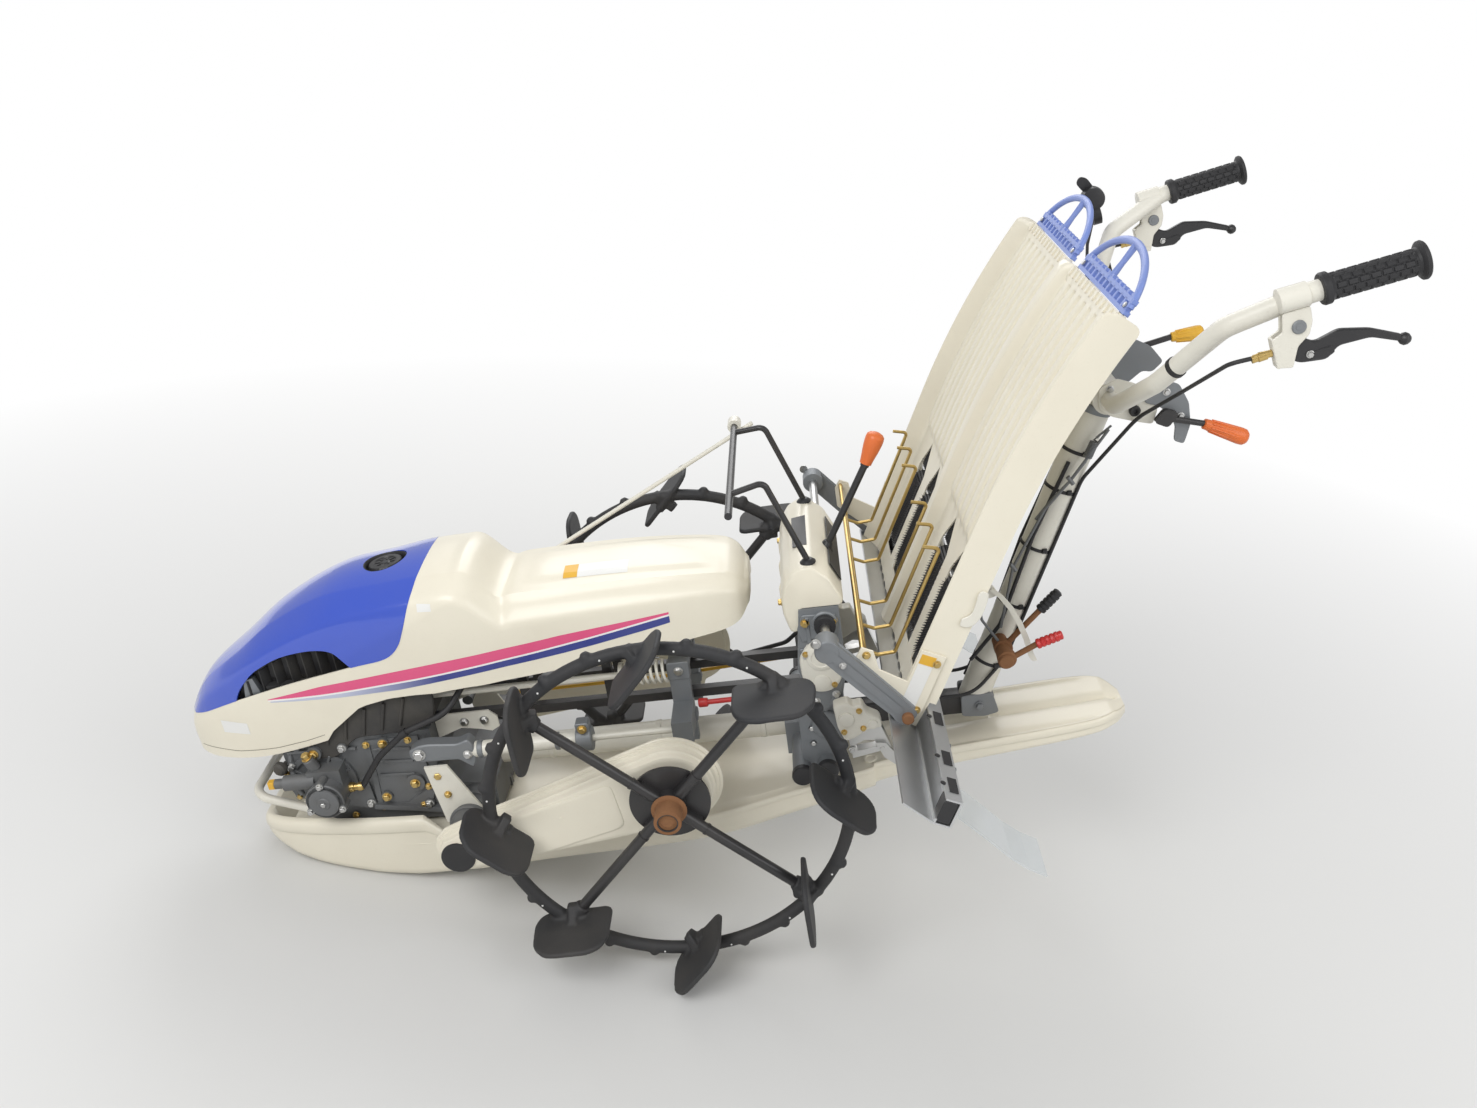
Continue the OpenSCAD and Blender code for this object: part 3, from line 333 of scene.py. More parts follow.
def basis(d):
    """Two unit vectors square to d."""
    d = Vector(d).normalized()
    a = Vector((0, 0, 1)) if abs(d.z) < 0.9 else Vector((1, 0, 0))
    u = d.cross(a).normalized()
    return u, d.cross(u).normalized()


def corner(p0, p, p2, steps):
    """Points of a rounded corner from p0 to p2, drawn towards p."""
    return [p0 * (1 - s) ** 2 + p * 2 * s * (1 - s) + p2 * s ** 2
            for s in (k / steps for k in range(steps + 1))]


def smooth_path(points, bend):
    """The same path with its corners rounded."""
    pts = [Vector(p) for p in points]
    out = [pts[0]]
    for i in range(1, len(pts) - 1):
        p, a, b = pts[i], pts[i - 1], pts[i + 1]
        u, v = (a - p), (b - p)
        angle = u.angle(v)
        if angle > math.radians(178):
            out.append(p)
            continue
        t = min(bend / math.tan(angle / 2), u.length * 0.49, v.length * 0.49)
        out += corner(p + u.normalized() * t, p, p + v.normalized() * t, 8)
    return out + [pts[-1]]


def add_tube(bm, points, radius, sides=14, mat=0, radii=None):
    """A round tube along points."""
    pts = [Vector(p) for p in points]
    rings = []
    u = None
    for i, p in enumerate(pts):
        d = (pts[min(i + 1, len(pts) - 1)] - pts[max(i - 1, 0)]).normalized()
        if u is None:
            u = basis(d)[0]
        u = (u - d * u.dot(d)).normalized()
        v = d.cross(u)
        r = radii[i] if radii else radius
        rings.append([p + (u * math.cos(a) + v * math.sin(a)) * r
                      for a in (2 * math.pi * k / sides for k in range(sides))])
    add_rings(bm, rings, mat=mat)


def add_lathe(bm, profile, centre, axis, sides=32, mat=0, start=0.0):
    """A turned form: profile is a list of (distance along the axis, radius)."""
    c, d = Vector(centre), Vector(axis).normalized()
    u, v = basis(d)
    rings = []
    for h, r in profile:
        r = max(r, 0.01)
        rings.append([c + d * h + (u * math.cos(a) + v * math.sin(a)) * r
                      for a in (start + 2 * math.pi * k / sides for k in range(sides))])
    add_rings(bm, rings, mat=mat)


def add_prism(bm, outline, y0, y1, mat=0, bevel=0.0, to=None):
    """A plate along Y from an outline in X and Z, its edges bevelled if asked."""
    n = len(outline)
    inner = outline
    if bevel:
        c = Vector((sum(p[0] for p in outline) / n, sum(p[1] for p in outline) / n))
        inner = []
        for i in range(n):
            a, p, b = (Vector(outline[j % n]) for j in (i - 1, i, i + 1))
            e0, e1 = (p - a).normalized(), (b - p).normalized()
            m = Vector((-(e0.y + e1.y), e0.x + e1.x))
            m = m.normalized() if m.length > 1e-6 else Vector((-e0.y, e0.x))
            if m.dot(c - p) < 0 and n < 8:
                m = -m
            inner.append(p + m * bevel)
    levels = [(y0, inner), (y0 + bevel, outline), (y1 - bevel, outline), (y1, inner)] if bevel else [
        (y0, outline), (y1, outline)]
    rings = [[Vector((p[0], y, p[1])) for p in o] for y, o in levels]
    if to is not None:
        rings = [[to @ p for p in ring] for ring in rings]
    add_rings(bm, rings, mat=mat)


def add_box(bm, low, high, bevel=0.0, mat=0, to=None):
    x0, y0, z0 = low
    x1, y1, z1 = high
    add_prism(bm, [(x0, z0), (x1, z0), (x1, z1), (x0, z1)], y0, y1, mat=mat, bevel=bevel, to=to)


def add_bolt(bm, at, axis, width=11.0, height=6.0, washer=True, mat=0):
    """A hexagon bolt head on a washer, its seat at the given point."""
    h = 0.0
    if washer:
        add_lathe(bm, [(0, width * 0.75), (1.4, width * 0.75), (1.6, width * 0.7)], at, axis, 14, mat)
        h = 1.5
    r = width / math.sqrt(3)
    add_lathe(bm, [(h, r), (h + height * 0.8, r), (h + height, r * 0.82)], at, axis, 6, mat)


def lathe_out(bm, profile, at, side, sides=32):
    """A turned form that points outward along Y, on one side of the machine; at is its place on the left."""
    add_lathe(bm, profile, (at[0], side * at[1], at[2]), (0, side, 0), sides)


def bolt_out(bm, at, side, width, height, mat=0):
    """A bolt head that points outward along Y, on one side of the machine; at is its place on the left."""
    add_bolt(bm, (at[0], side * at[1], at[2]), (0, side, 0), width, height, mat=mat)


def bolt_row(bm, places, y, side, width, height, mat=0):
    """Bolts on a face square to Y, at places in X and Z."""
    for x, z in places:
        bolt_out(bm, (x, y, z), side, width, height, mat)


def between(side, a, b):
    """Two places along Y on one side of the machine, the lower one first."""
    return sorted((side * a, side * b))


def scaled(outline, centre, y, k):
    """An outline in X and Z at a place along Y, drawn towards its centre by the factor k."""
    return [Vector((centre[0] + (x - centre[0]) * k, y, centre[1] + (z - centre[1]) * k)) for x, z in outline]


def rounded(points, radius, steps=5):
    """A closed outline with its corners rounded."""
    n = len(points)
    out = []
    for i in range(n):
        a, p, b = (Vector(points[j % n]) for j in (i - 1, i, i + 1))
        u, v = (a - p), (b - p)
        t = min(radius, u.length * 0.45, v.length * 0.45)
        out += [tuple(q) for q in corner(p + u.normalized() * t, p, p + v.normalized() * t, steps)]
    return out


def catmull(table, count):
    """Rows between the rows of a table, smooth in every column."""
    t = np.array(table, float)
    out = []
    for i in range(len(t) - 1):
        p0, p1, p2, p3 = t[max(i - 1, 0)], t[i], t[i + 1], t[min(i + 2, len(t) - 1)]
        for k in range(count):
            s = k / count
            out.append(0.5 * (2 * p1 + (p2 - p0) * s + (2 * p0 - 5 * p1 + 4 * p2 - p3) * s ** 2
                              + (3 * p1 - p0 - 3 * p2 + p3) * s ** 3))
    return out + [t[-1]]


# Operators
class TRANSPLANTER_OT_stage(bpy.types.Operator):
    """Camera at the photograph's viewing angle, pale floor and soft light"""
    bl_idname = "transplanter.stage"
    bl_label = "Stage"

    def execute(self, context):
        scene = context.scene
        cam_data = bpy.data.cameras.new("camera")
        cam = bpy.data.objects.new("camera", cam_data)
        scene.collection.objects.link(cam)
        scene.camera = cam
        cam_data.sensor_width = SENSOR_MM
        cam_data.lens = SENSOR_MM * FOCAL_PIXELS / PICTURE_WIDTH
        cam_data.clip_end = 50
        pitch, roll, yaw = (math.radians(a) for a in (CAMERA_PITCH, CAMERA_ROLL, CAMERA_YAW))
        level = Vector((-math.sin(yaw), -math.cos(yaw), 0))
        right = Vector((-math.cos(yaw), math.sin(yaw), 0))
        ahead = level * math.cos(pitch) + Vector((0, 0, -math.sin(pitch)))
        up = right.cross(ahead)
        r2 = right * math.cos(roll) - up * math.sin(roll)
        u2 = right * math.sin(roll) + up * math.cos(roll)
        m = Matrix((r2, u2, -ahead)).transposed().to_4x4()
        m.translation = Vector(CAMERA_AT) + Vector((AXLE.x, 0, 0))
        cam.matrix_world = m
        world = bpy.data.worlds.new("studio")
        scene.world = world
        world.use_nodes = True
        t = world.node_tree
        back = t.nodes["Background"]
        path = node(t, "ShaderNodeLightPath")
        strength = node(t, "ShaderNodeMapRange", **{"To Min": WORLD_ON_OBJECT, "To Max": WORLD_SEEN})
        link(t, maths(t, "MAXIMUM", path.outputs["Is Camera Ray"], path.outputs["Is Transmission Ray"]),
             strength.inputs["Value"])
        link(t, strength.outputs[0], back.inputs["Strength"])
        back.inputs["Color"].default_value = (1, 1, 1, 1)
        bm = bmesh.new()
        bmesh.ops.create_grid(bm, x_segments=1, y_segments=1, size=300)
        mesh = bpy.data.meshes.new("floor")
        bm.to_mesh(mesh)
        bm.free()
        floor = bpy.data.objects.new("floor", mesh)
        scene.collection.objects.link(floor)
        mat = bpy.data.materials.new("floor_paint")
        mat.use_nodes = True
        ft = mat.node_tree
        paint = ft.nodes["Principled BSDF"]
        paint.inputs["Base Color"].default_value = FLOOR_COLOUR
        paint.inputs["Roughness"].default_value = 0.8
        far = node(ft, "ShaderNodeVectorMath", operation="LENGTH")
        link(ft, node(ft, "ShaderNodeTexCoord").outputs["Object"], far.inputs[0])
        glow = node(ft, "ShaderNodeEmission", Color=(1, 1, 1, 1), Strength=1.0)
        fade = node(ft, "ShaderNodeMixShader")
        rays = node(ft, "ShaderNodeLightPath")
        seen = maths(ft, "MAXIMUM", rays.outputs["Is Camera Ray"], rays.outputs["Is Glossy Ray"])
        link(ft, maths(ft, "MULTIPLY", ramp(ft, far.outputs["Value"], *FLOOR_FADE), seen), fade.inputs[0])
        link(ft, paint.outputs[0], fade.inputs[1])
        link(ft, glow.outputs[0], fade.inputs[2])
        link(ft, fade.outputs[0], ft.nodes["Material Output"].inputs["Surface"])
        mesh.materials.append(mat)
        for name, place, size, power in LAMPS:
            data = bpy.data.lights.new(name, "AREA")
            data.size = size
            data.energy = power
            lamp = bpy.data.objects.new(name, data)
            scene.collection.objects.link(lamp)
            lamp.location = place
            lamp.rotation_mode = "QUATERNION"
            lamp.rotation_quaternion = (Vector(place) - LAMP_TARGET).to_track_quat("Z", "Y")
        scene.view_settings.view_transform = "Standard"
        return {"FINISHED"}


class TRANSPLANTER_OT_finishes(bpy.types.Operator):
    """Finishes of every surface, put on the frame's own nodes"""
    bl_idname = "transplanter.finishes"
    bl_label = "Finishes"

    def execute(self, context):
        f = context.scene.transplanter_finish
        build_grime_group()
        build_rust_group()
        build_skin_group()
        g = f.grime
        cream, blue = tuple(f.cream), tuple(f.blue)
        finish_of("cream_plastic", cream, rough=0.34, coat=0.15, grime=0.38 * g, bump=0.06, distance=0.0006,
                  grain=(700, 9, 0.15), grime_color=(0.45, 0.38, 0.27, 1))
        finish_of("cream_paint", CREAM_COOL, rough=0.38, coat=0.1, grime=0.6 * g, rust=0.16, rust_scale=60,
                  grime_color=(0.30, 0.24, 0.16, 1))
        finish_of("blue_plastic", blue, rough=0.16, coat=0.7, grime=0.12 * g, bump=0.04, distance=0.0006,
                  grain=(500, 8, 0.1))
        finish_of("pale_blue_plastic", PALE_BLUE, rough=0.42, grime=0.5 * g)
        finish_of("lug_rubber", tuple(f.rubber), rough=0.62, grime=0.55 * g, bump=0.3,
                  grain=(500, 25, 0.6), grime_color=(0.16, 0.14, 0.115, 1))
        finish_of("black_rubber", BLACK, rough=0.55, grime=0.4 * g, bump=0.3,
                  grime_color=(0.12, 0.11, 0.1, 1))
        finish_of("black_plastic", BLACK, rough=0.4, grime=0.3 * g, grime_color=(0.14, 0.13, 0.12, 1))
        finish_of("black_steel", (0.02, 0.02, 0.022, 1), rough=0.36, coat=0.1, grime=0.5 * g, rust=0.1,
                  grime_color=(0.14, 0.12, 0.1, 1))
        finish_of("grey_paint", GREY, rough=0.5, metallic=0.35, grime=0.6 * g, bump=0.25,
                  grain=(420, 14, 0.8), grime_color=(0.2, 0.17, 0.13, 1))
        finish_of("grey_casting", CASTING, rough=0.55, metallic=0.45, grime=0.8 * g, bump=0.35,
                  grain=(350, 18, 0.9), grime_color=(0.14, 0.115, 0.085, 1), scale=14)
        finish_of("dark_casting", (0.03, 0.031, 0.034, 1), rough=0.6, metallic=0.2, grime=0.6 * g)
        finish_of("bright_steel", STEEL, rough=0.28, metallic=1.0, grime=0.3 * g, rust=0.12, rust_scale=80)
        finish_of("gold_steel", GOLD, rough=0.35, metallic=1.0, grime=0.3 * g, rust=0.08, rust_scale=80)
        finish_of("rail_aluminium", (0.62, 0.63, 0.64, 1), rough=0.36, metallic=0.9, grime=0.35 * g)
        finish_of("rusty_steel", (0.23, 0.105, 0.045, 1), rough=0.8, metallic=0.2, grime=0.5, rust=0.35,
                  rust_scale=45, bump=0.5, grime_color=(0.34, 0.19, 0.09, 1), scale=40)
        finish_of("orange_plastic", ORANGE, rough=0.38, grime=0.3 * g)
        finish_of("red_plastic", RED, rough=0.35, grime=0.3 * g)
        finish_of("yellow_plastic", YELLOW, rough=0.38, grime=0.3 * g)
        finish_of("white_plastic", (0.8, 0.8, 0.78, 1), rough=0.4, grime=0.3 * g)
        finish_of("clear_plastic", (0.72, 0.76, 0.78, 1), rough=0.18, grime=0.3 * g, alpha=0.5)
        finish_of("stripe_pink", (0.72, 0.085, 0.22, 1), rough=0.3, coat=0.2, grime=0.15 * g)
        finish_of("stripe_white", (0.82, 0.82, 0.8, 1), rough=0.3, coat=0.2, grime=0.1 * g)
        finish_of("seam_shadow", (0.2, 0.18, 0.14, 1), rough=0.6, grime=0.2 * g)
        stripe = finish_of("stripe_blue", (0.03, 0.045, 0.24, 1), rough=0.3, coat=0.2, grime=0.1 * g)
        t = stripe.node_tree
        split = node(t, "ShaderNodeSeparateXYZ")
        link(t, node(t, "ShaderNodeTexCoord").outputs["Object"], split.inputs[0])
        pale = ramp(t, split.outputs["X"], stance((380, 0, 170)).x, stance((560, 0, 160)).x)
        dirt = next(n for n in t.nodes if n.type == "GROUP" and n.node_tree.name == "settled_grime")
        link(t, mix(t, pale, (0.03, 0.045, 0.24, 1), (0.50, 0.53, 0.66, 1)), dirt.inputs["Color"])
        for name, o in NODES.items():
            slot = next(s["material_slot"] for s in frame["record"]["subparts"] if s["node"] == name)
            o.data.materials.clear()
            o.data.materials.append(MATS[slot])
        return {"FINISHED"}


def thicken(bm, wall):
    """Gives an open skin a wall towards its back."""
    bm.normal_update()
    faces = bm.faces[:]
    rim = [e.link_loops[0] for e in bm.edges if len(e.link_loops) == 1]
    twin = {v: bm.verts.new(v.co - v.normal * wall) for v in bm.verts[:]}
    for loop in rim:
        a, b = loop.vert, loop.link_loop_next.vert
        bm.faces.new((b, a, twin[a], twin[b])).material_index = loop.face.material_index
    for f in faces:
        bm.faces.new([twin[v] for v in reversed(f.verts)]).material_index = f.material_index


def cut_faces(bm, faces, point, normal):
    """Cuts only these faces along a plane."""
    geom = set(faces)
    for f in faces:
        geom.update(f.edges)
        geom.update(f.verts)
    bmesh.ops.bisect_plane(bm, geom=list(geom), dist=1e-4, plane_co=point, plane_no=normal)


def cut_line(bm, line, pick):
    """Cuts the picked faces along a line in X and Z on which X only falls."""
    for p in line:
        cut_faces(bm, [f for f in bm.faces if pick(f)], (p[0], 0, 0), (1, 0, 0))
    for (x0, z0), (x1, z1) in zip(line, line[1:]):
        slab = [f for f in bm.faces if pick(f) and x1 < f.calc_center_median().x < x0]
        if slab:
            cut_faces(bm, slab, (x0, 0, z0), (z0 - z1, 0, x1 - x0))


def line_z(line, x):
    """Height of such a line at x."""
    pts = sorted(line)
    return float(np.interp(x, [p[0] for p in pts], [p[1] for p in pts]))


def eased(points, radii):
    """An open outline with its corners rounded by the given radii."""
    pts = [Vector(p) for p in points]
    out = [pts[0]]
    for a, p, b, r in zip(pts, pts[1:], pts[2:], radii):
        u, v = a - p, b - p
        t = min(r, u.length * 0.45, v.length * 0.45)
        out += corner(p + u.normalized() * t, p, p + v.normalized() * t, 3)
    return out + [pts[-1]]


def smooth_step(value, low, high):
    s = min(1.0, max(0.0, (value - low) / (high - low)))
    return s * s * (3 - 2 * s)


# Hood sections along X: place, then half width and height of the lower edge, of the crease, of the
# deck's foot and of the deck's edge, and last the height of the crown
HOOD = [
    [873, 30, 54, 34, 74, 30, 88, 20, 95, 98], [862, 50, 42, 52, 84, 46, 110, 32, 124, 129],
    [820, 72, 36, 74, 110, 66, 156, 44, 178, 187], [742, 95, 42, 96, 150, 86, 206, 58, 232, 242],
    [660, 107, 58, 109, 190, 98, 252, 66, 286, 298], [560, 117, 86, 119, 226, 108, 292, 74, 328, 340],
    [466, 122, 122, 124, 262, 112, 312, 78, 340, 352], [400, 125, 148, 126, 290, 114, 322, 82, 348, 358],
    [340, 126, 156, 126, 316, 114, 332, 84, 350, 359], [305, 126, 158, 125, 304, 110, 324, 84, 346, 357],
    [262, 125, 163, 122, 264, 95, 291, 86, 302, 309], [225, 124, 166, 121, 265, 94, 293, 86, 304, 310],
    [100, 120, 178, 118, 270, 92, 296, 85, 306, 312], [0, 116, 190, 114, 272, 90, 295, 83, 304, 310],
    [-100, 108, 204, 105, 274, 84, 289, 76, 297, 303], [-136, 97, 214, 94, 266, 74, 280, 66, 287, 292],
    [-152, 76, 230, 74, 252, 60, 262, 52, 268, 272]]
# Side view of the front cap's edge, of its opening and of the arch over the gearbox
CAP_EDGE = [(900, 124), (852, 121), (745, 160), (640, 190), (526, 214), (470, 223), (446, 234), (430, 252),
            (420, 272), (412, 290), (398, 326), (366, 400)]
LOUVRE = [(752, 158), (740, 178), (712, 206), (684, 223), (650, 238), (612, 247), (580, 250), (556, 247),
          (542, 238), (526, 217), (518, 210)]
ARCH = [(604, 60), (600, 78), (590, 90), (566, 108), (528, 136), (474, 148), (430, 151), (390, 151)]
FILLER, WELL_R = (462.0, 0.0), 38
HOOD_WALL, CAP_LIFT = 3, 0.7


def hood_section(s):
    """Points of a section, from its lower edge on the left over the crown to the right."""
    x, low = s[0], s[2]
    if 390 < x < 604:
        low = max(low, line_z(ARCH, x))
    side = eased([(s[1], low), (s[1] + (s[3] - s[1]) * 0.5, (low + s[4]) / 2), (s[3], s[4]),
                  ((s[3] + s[5]) / 2 + 1, (s[4] + s[6]) / 2 + 2), (s[5], s[6]), (s[7], s[8])], [4, 9, 8, 9])
    for k in range(1, 13):
        y = s[7] * (1 - k / 12)
        z = s[8] + (s[9] - s[8]) * (1 - (y / s[7]) ** 2)
        panel = smooth_step(x, -96, -84) * (1 - smooth_step(x, 204, 216)) * (1 - smooth_step(y, 54, 60))
        side.append(Vector((y, z + 3.5 * panel)))
    ring = [Vector((x, p[0], p[1])) for p in side]
    return ring + [Vector((x, -p.y, p.z)) for p in ring[-2::-1]]


def hood_skin():
    rows = catmull(HOOD, 7)
    rings = [hood_section(r) for r in rows]
    for ring, centre, ends in ((0, Vector((0, 0, 76)), ((4, 0.82), (6, 0.5), (6.8, 0.12))),
                               (-1, Vector((0, 0, 250)), ((-4, 0.86), (-6.5, 0.55), (-7.2, 0.12)))):
        base = rings[ring]
        extra = []
        for dx, k in ends:
            c = Vector((base[0].x, centre.y, centre.z))
            extra.append([c + (p - c) * k + Vector((dx, 0, 0)) for p in base])
        rings = extra[::-1] + rings if ring == 0 else rings + extra
    bm = bmesh.new()
    vs = [[bm.verts.new(p) for p in ring] for ring in rings]
    for a, b in zip(vs, vs[1:]):
        for k in range(len(a) - 1):
            bm.faces.new((a[k + 1], a[k], b[k], b[k + 1]))
    bm.normal_update()
    if sum(f.normal.dot(f.calc_center_median() - Vector((350, 0, 150))) for f in bm.faces) < 0:
        bmesh.ops.reverse_faces(bm, faces=bm.faces[:])
        bm.normal_update()
    return bm


def on_skin(tree, x, z, side):
    """Where a level line along Y meets the hood's side, or None."""
    return tree.ray_cast(Vector((x, side * 400, z)), Vector((0, -side, 0)))[0]


def add_band(bm, tree, low, high, side, mat=0, lift=0.35, ends=None, step=9):
    """A thin band on the hood's side between two lines in X and Z."""
    x0 = max(min(p[0] for p in low), min(p[0] for p in high))
    x1 = min(max(p[0] for p in low), max(p[0] for p in high))
    if ends:
        x0, x1 = max(x0, ends[0]), min(x1, ends[1])
    n = max(2, int((x1 - x0) / step))
    rows = []
    for i in range(n + 1):
        x = x0 + (x1 - x0) * i / n
        za, zb = line_z(low, x), line_z(high, x)
        row = []
        for k in range(5):
            p = on_skin(tree, x, za + (zb - za) * k / 4, side)
            if p is None:
                return
            row.append(bm.verts.new(p + Vector((0, side * lift, 0))))
        rows.append(row)
    for a, b in zip(rows, rows[1:]):
        for k in range(4):
            quad = (a[k], a[k + 1], b[k + 1], b[k])
            f = bm.faces.new(quad if side > 0 else quad[::-1])
            f.material_index = mat
            f.normal_update()
            if f.normal.y * side < 0:
                f.normal_flip()


class TRANSPLANTER_OT_hood(bpy.types.Operator):
    """Hood: glossy front cap with its opening, rear moulding with a hump and deck, painted stripe"""
    bl_idname = "transplanter.hood"
    bl_label = "Hood"

    def execute(self, context):
        skin = hood_skin()
        tree = BVHTree.FromBMesh(skin)
        edge = [tuple(p) for p in catmull(CAP_EDGE, 3)]
        cut_line(skin, edge, lambda f: 360 < f.calc_center_median().x < 885)

        def in_cap(c):
            return c.x > 366 and c.z > line_z(edge, c.x)

        cap, rear = bmesh.new(), bmesh.new()
        for part, keep in ((cap, True), (rear, False)):
            seen = {}
            for f in skin.faces:
                if in_cap(f.calc_center_median()) == keep:
                    vs = []
                    for v in f.verts:
                        if v not in seen:
                            seen[v] = part.verts.new(v.co)
                        vs.append(seen[v])
                    part.faces.new(vs)
        skin.free()
        top = [tuple(p) for p in catmull(LOUVRE, 3)]
        cut_line(cap, top, lambda f: 515 < f.calc_center_median().x < 760 and
                 f.calc_center_median().z < 275)

        def in_louvre(c):
            return LOUVRE[-1][0] < c.x < LOUVRE[0][0] and c.z < line_z(top, c.x) and abs(c.y) > 50

        def near_filler(c, reach):
            return (c.xy - Vector(FILLER)).length < reach and c.z > 300

        bmesh.ops.delete(cap, geom=[f for f in cap.faces if in_louvre(f.calc_center_median())],
                         context="FACES")
        for k in range(28):
            a = 2 * math.pi * k / 28
            d = Vector((math.cos(a), math.sin(a), 0))
            near = [f for f in cap.faces if near_filler(f.calc_center_median(), 60)]
            cut_faces(cap, near, Vector((*FILLER, 0)) + d * WELL_R, d)
        gone = [f for f in cap.faces if near_filler(f.calc_center_median(), WELL_R + 0.1)]
        bmesh.ops.delete(cap, geom=gone, context="FACES")
        cap.normal_update()
        for v in cap.verts:
            v.co += v.normal * CAP_LIFT
        thicken(cap, HOOD_WALL)
        obj_from(cap, "hood_cap_shell", "blue_plastic", "machine", 32, 0.001, nodes=("hood_cap",))
        thicken(rear, HOOD_WALL)
        obj_from(rear, "hood_rear_shell", "cream_plastic", "machine", 32, 0.001, nodes=("hood_body",))
        bm = bmesh.new()
        pink = [(690, 161), (587, 182), (533, 189), (424, 203), (374, 209), (212, 227), (160, 234),
                (109, 239), (58, 244), (7, 249), (-24, 252)]
        white = [(690, 160), (650, 162), (590, 166), (533, 171), (424, 182), (374, 188), (212, 209),
                 (160, 217), (109, 225), (58, 234), (7, 243), (-24, 248)]
        silver = [(p[0], p[1] - 3.2) for p in white]
        low = [(700, 155), (676, 155), (628, 156), (557, 158), (451, 164), (379, 173), (271, 187), (212, 194),
               (160, 201), (109, 209), (58, 218), (7, 227), (-24, 233)]
        for side in (1, -1):
            add_band(bm, tree, white, pink, side, 0)
            add_band(bm, tree, silver, white, side, 1)
            add_band(bm, tree, low, silver, side, 2, ends=(-24, 686))
        obj_from(bm, "hood_stripe", ["stripe_pink", "stripe_white", "stripe_blue"], "machine",
                 None, 0.001, False)
        bm = bmesh.new()
        groove = [(858, 50), (780, 46), (700, 55), (640, 68), (606, 78)]
        for side in (1, -1):
            add_band(bm, tree, [(x, z + 6) for x, z in groove],
                     [(x, z + 7.2) for x, z in groove], side, 0, 0.3)
        obj_from(bm, "nose_seam", "seam_shadow", "machine", None, 0.001, False)
        bm = bmesh.new()
        for low, high in (([(745, 90), (800, 92)], [(742, 112), (797, 117)]),
                          ([(362, 306), (392, 306)], [(356, 318), (386, 319)])):
            add_band(bm, tree, low, high, 1, 0, 0.4, step=6)
        for x0, m in ((40, 0), (126, 1)):
            rows = []
            for i in range(7):
                x = x0 + (150 - x0) * i / 6
                row = []
                for k in range(7):
                    y = 24 + (62 - 24) * k / 6
                    hit = tree.ray_cast(Vector((x, y, 500)), Vector((0, 0, -1)))
                    row.append(bm.verts.new(hit[0] + Vector((0, 0, 0.4 + 0.3 * m))))
                rows.append(row)
            for a, b in zip(rows, rows[1:]):
                for k in range(6):
                    bm.faces.new((a[k], b[k], b[k + 1], a[k + 1])).material_index = m
        obj_from(bm, "hood_blank_plates", ["white_plastic", "yellow_plastic"], "machine", None, 0.001, False)
        bm = bmesh.new()
        for side in (1, -1):
            add_prism(bm, [(760, 130), (756, 166), (716, 210), (650, 242), (560, 254), (520, 230),
                           (500, 200)], *between(side, 70, 78), mat=0)
            for k in range(7):
                x = 556 + 27 * k
                m = Matrix.Translation((x, side * 88, 0)) @ Matrix.Rotation(math.radians(-28 * side), 4, "Z")
                add_box(bm, (-1.2, -11, 150), (1.2, 8, line_z(LOUVRE, x) - 6), mat=1, to=m)
            add_prism(bm, [(735, 158), (728, 196), (712, 198), (702, 160)], *between(side, 79, 92), mat=2)
            y0, y1 = between(side, 80, 96)
            add_box(bm, (560, y0, 176), (690, y1, 182), mat=1)
        obj_from(bm, "hood_louvre", ["black_plastic", "dark_casting", "grey_paint"], "machine", 30)
        bm = bmesh.new()
        for side in (1, -1):
            add_prism(bm, rounded([(640, 30), (640, 92), (600, 118), (540, 140), (450, 152), (404, 140),
                                   (410, 92), (470, 68), (560, 66), (600, 30)], 14),
                      *between(side, 96, 104), bevel=2)
            for k in range(5):
                add_tube(bm, [(610 - 34 * k, side * 105, 60 + 6 * k),
                              (600 - 36 * k, side * 106, 110 + 7 * k)], 3, 8)
        obj_from(bm, "engine_shroud", "dark_casting", "machine", 35)
        return {"FINISHED"}


class TRANSPLANTER_OT_filler(bpy.types.Operator):
    """Fluted filler cap in a dark well on the hood"""
    bl_idname = "transplanter.filler"
    bl_label = "Filler cap"

    def execute(self, context):
        bm = bmesh.new()
        n = 96
        tilt = Matrix.Translation((*FILLER, 328)) @ Matrix.Rotation(math.radians(3), 4, "Y")
        rings = []
        for z, r, flute in ((0, 27, 0), (2, 30, 0.2), (5, 31, 1), (17, 30.5, 1), (20, 29.5, 0.6),
                            (22, 27.5, 0), (22.4, 20, 0), (20.4, 18.5, 0), (20.2, 8, 0), (21.5, 6, 0),
                            (21.6, 0.5, 0)):
            ring = []
            for k in range(n):
                a, reach = 2 * math.pi * k / n, r - flute * 0.9 * (k % 4 < 2)
                ring.append(tilt @ Vector((reach * math.cos(a), reach * math.sin(a), z)))
            rings.append(ring)
        add_rings(bm, rings)
        for k in range(8):
            a = 2 * math.pi * k / 8
            m = tilt @ Matrix.Rotation(a, 4, "Z")
            add_box(bm, (9, -1.2, 20), (18, 1.2, 21.6), 0.4, to=m)
        obj_from(bm, "filler_cap", "black_plastic", "machine", 30, nodes=("fuel_cap",))
        bm = bmesh.new()
        rows = []
        for r, z in ((38.6, 352), (37.4, 350.5), (36.4, 342), (35, 330), (26, 326), (24, 300), (2, 298)):
            follow = z > 328
            row = []
            for k in range(48):
                a = 2 * math.pi * k / 48
                x, y = r * math.cos(a), r * math.sin(a)
                row.append(Vector((FILLER[0] + x, y, z - 0.052 * x * follow - 0.0016 * y ** 2 * follow)))
            rows.append(row)
        add_rings(bm, rows, caps=False)
        thicken(bm, -1.2)
        obj_from(bm, "filler_well", "black_rubber", "machine", 40)
        return {"FINISHED"}


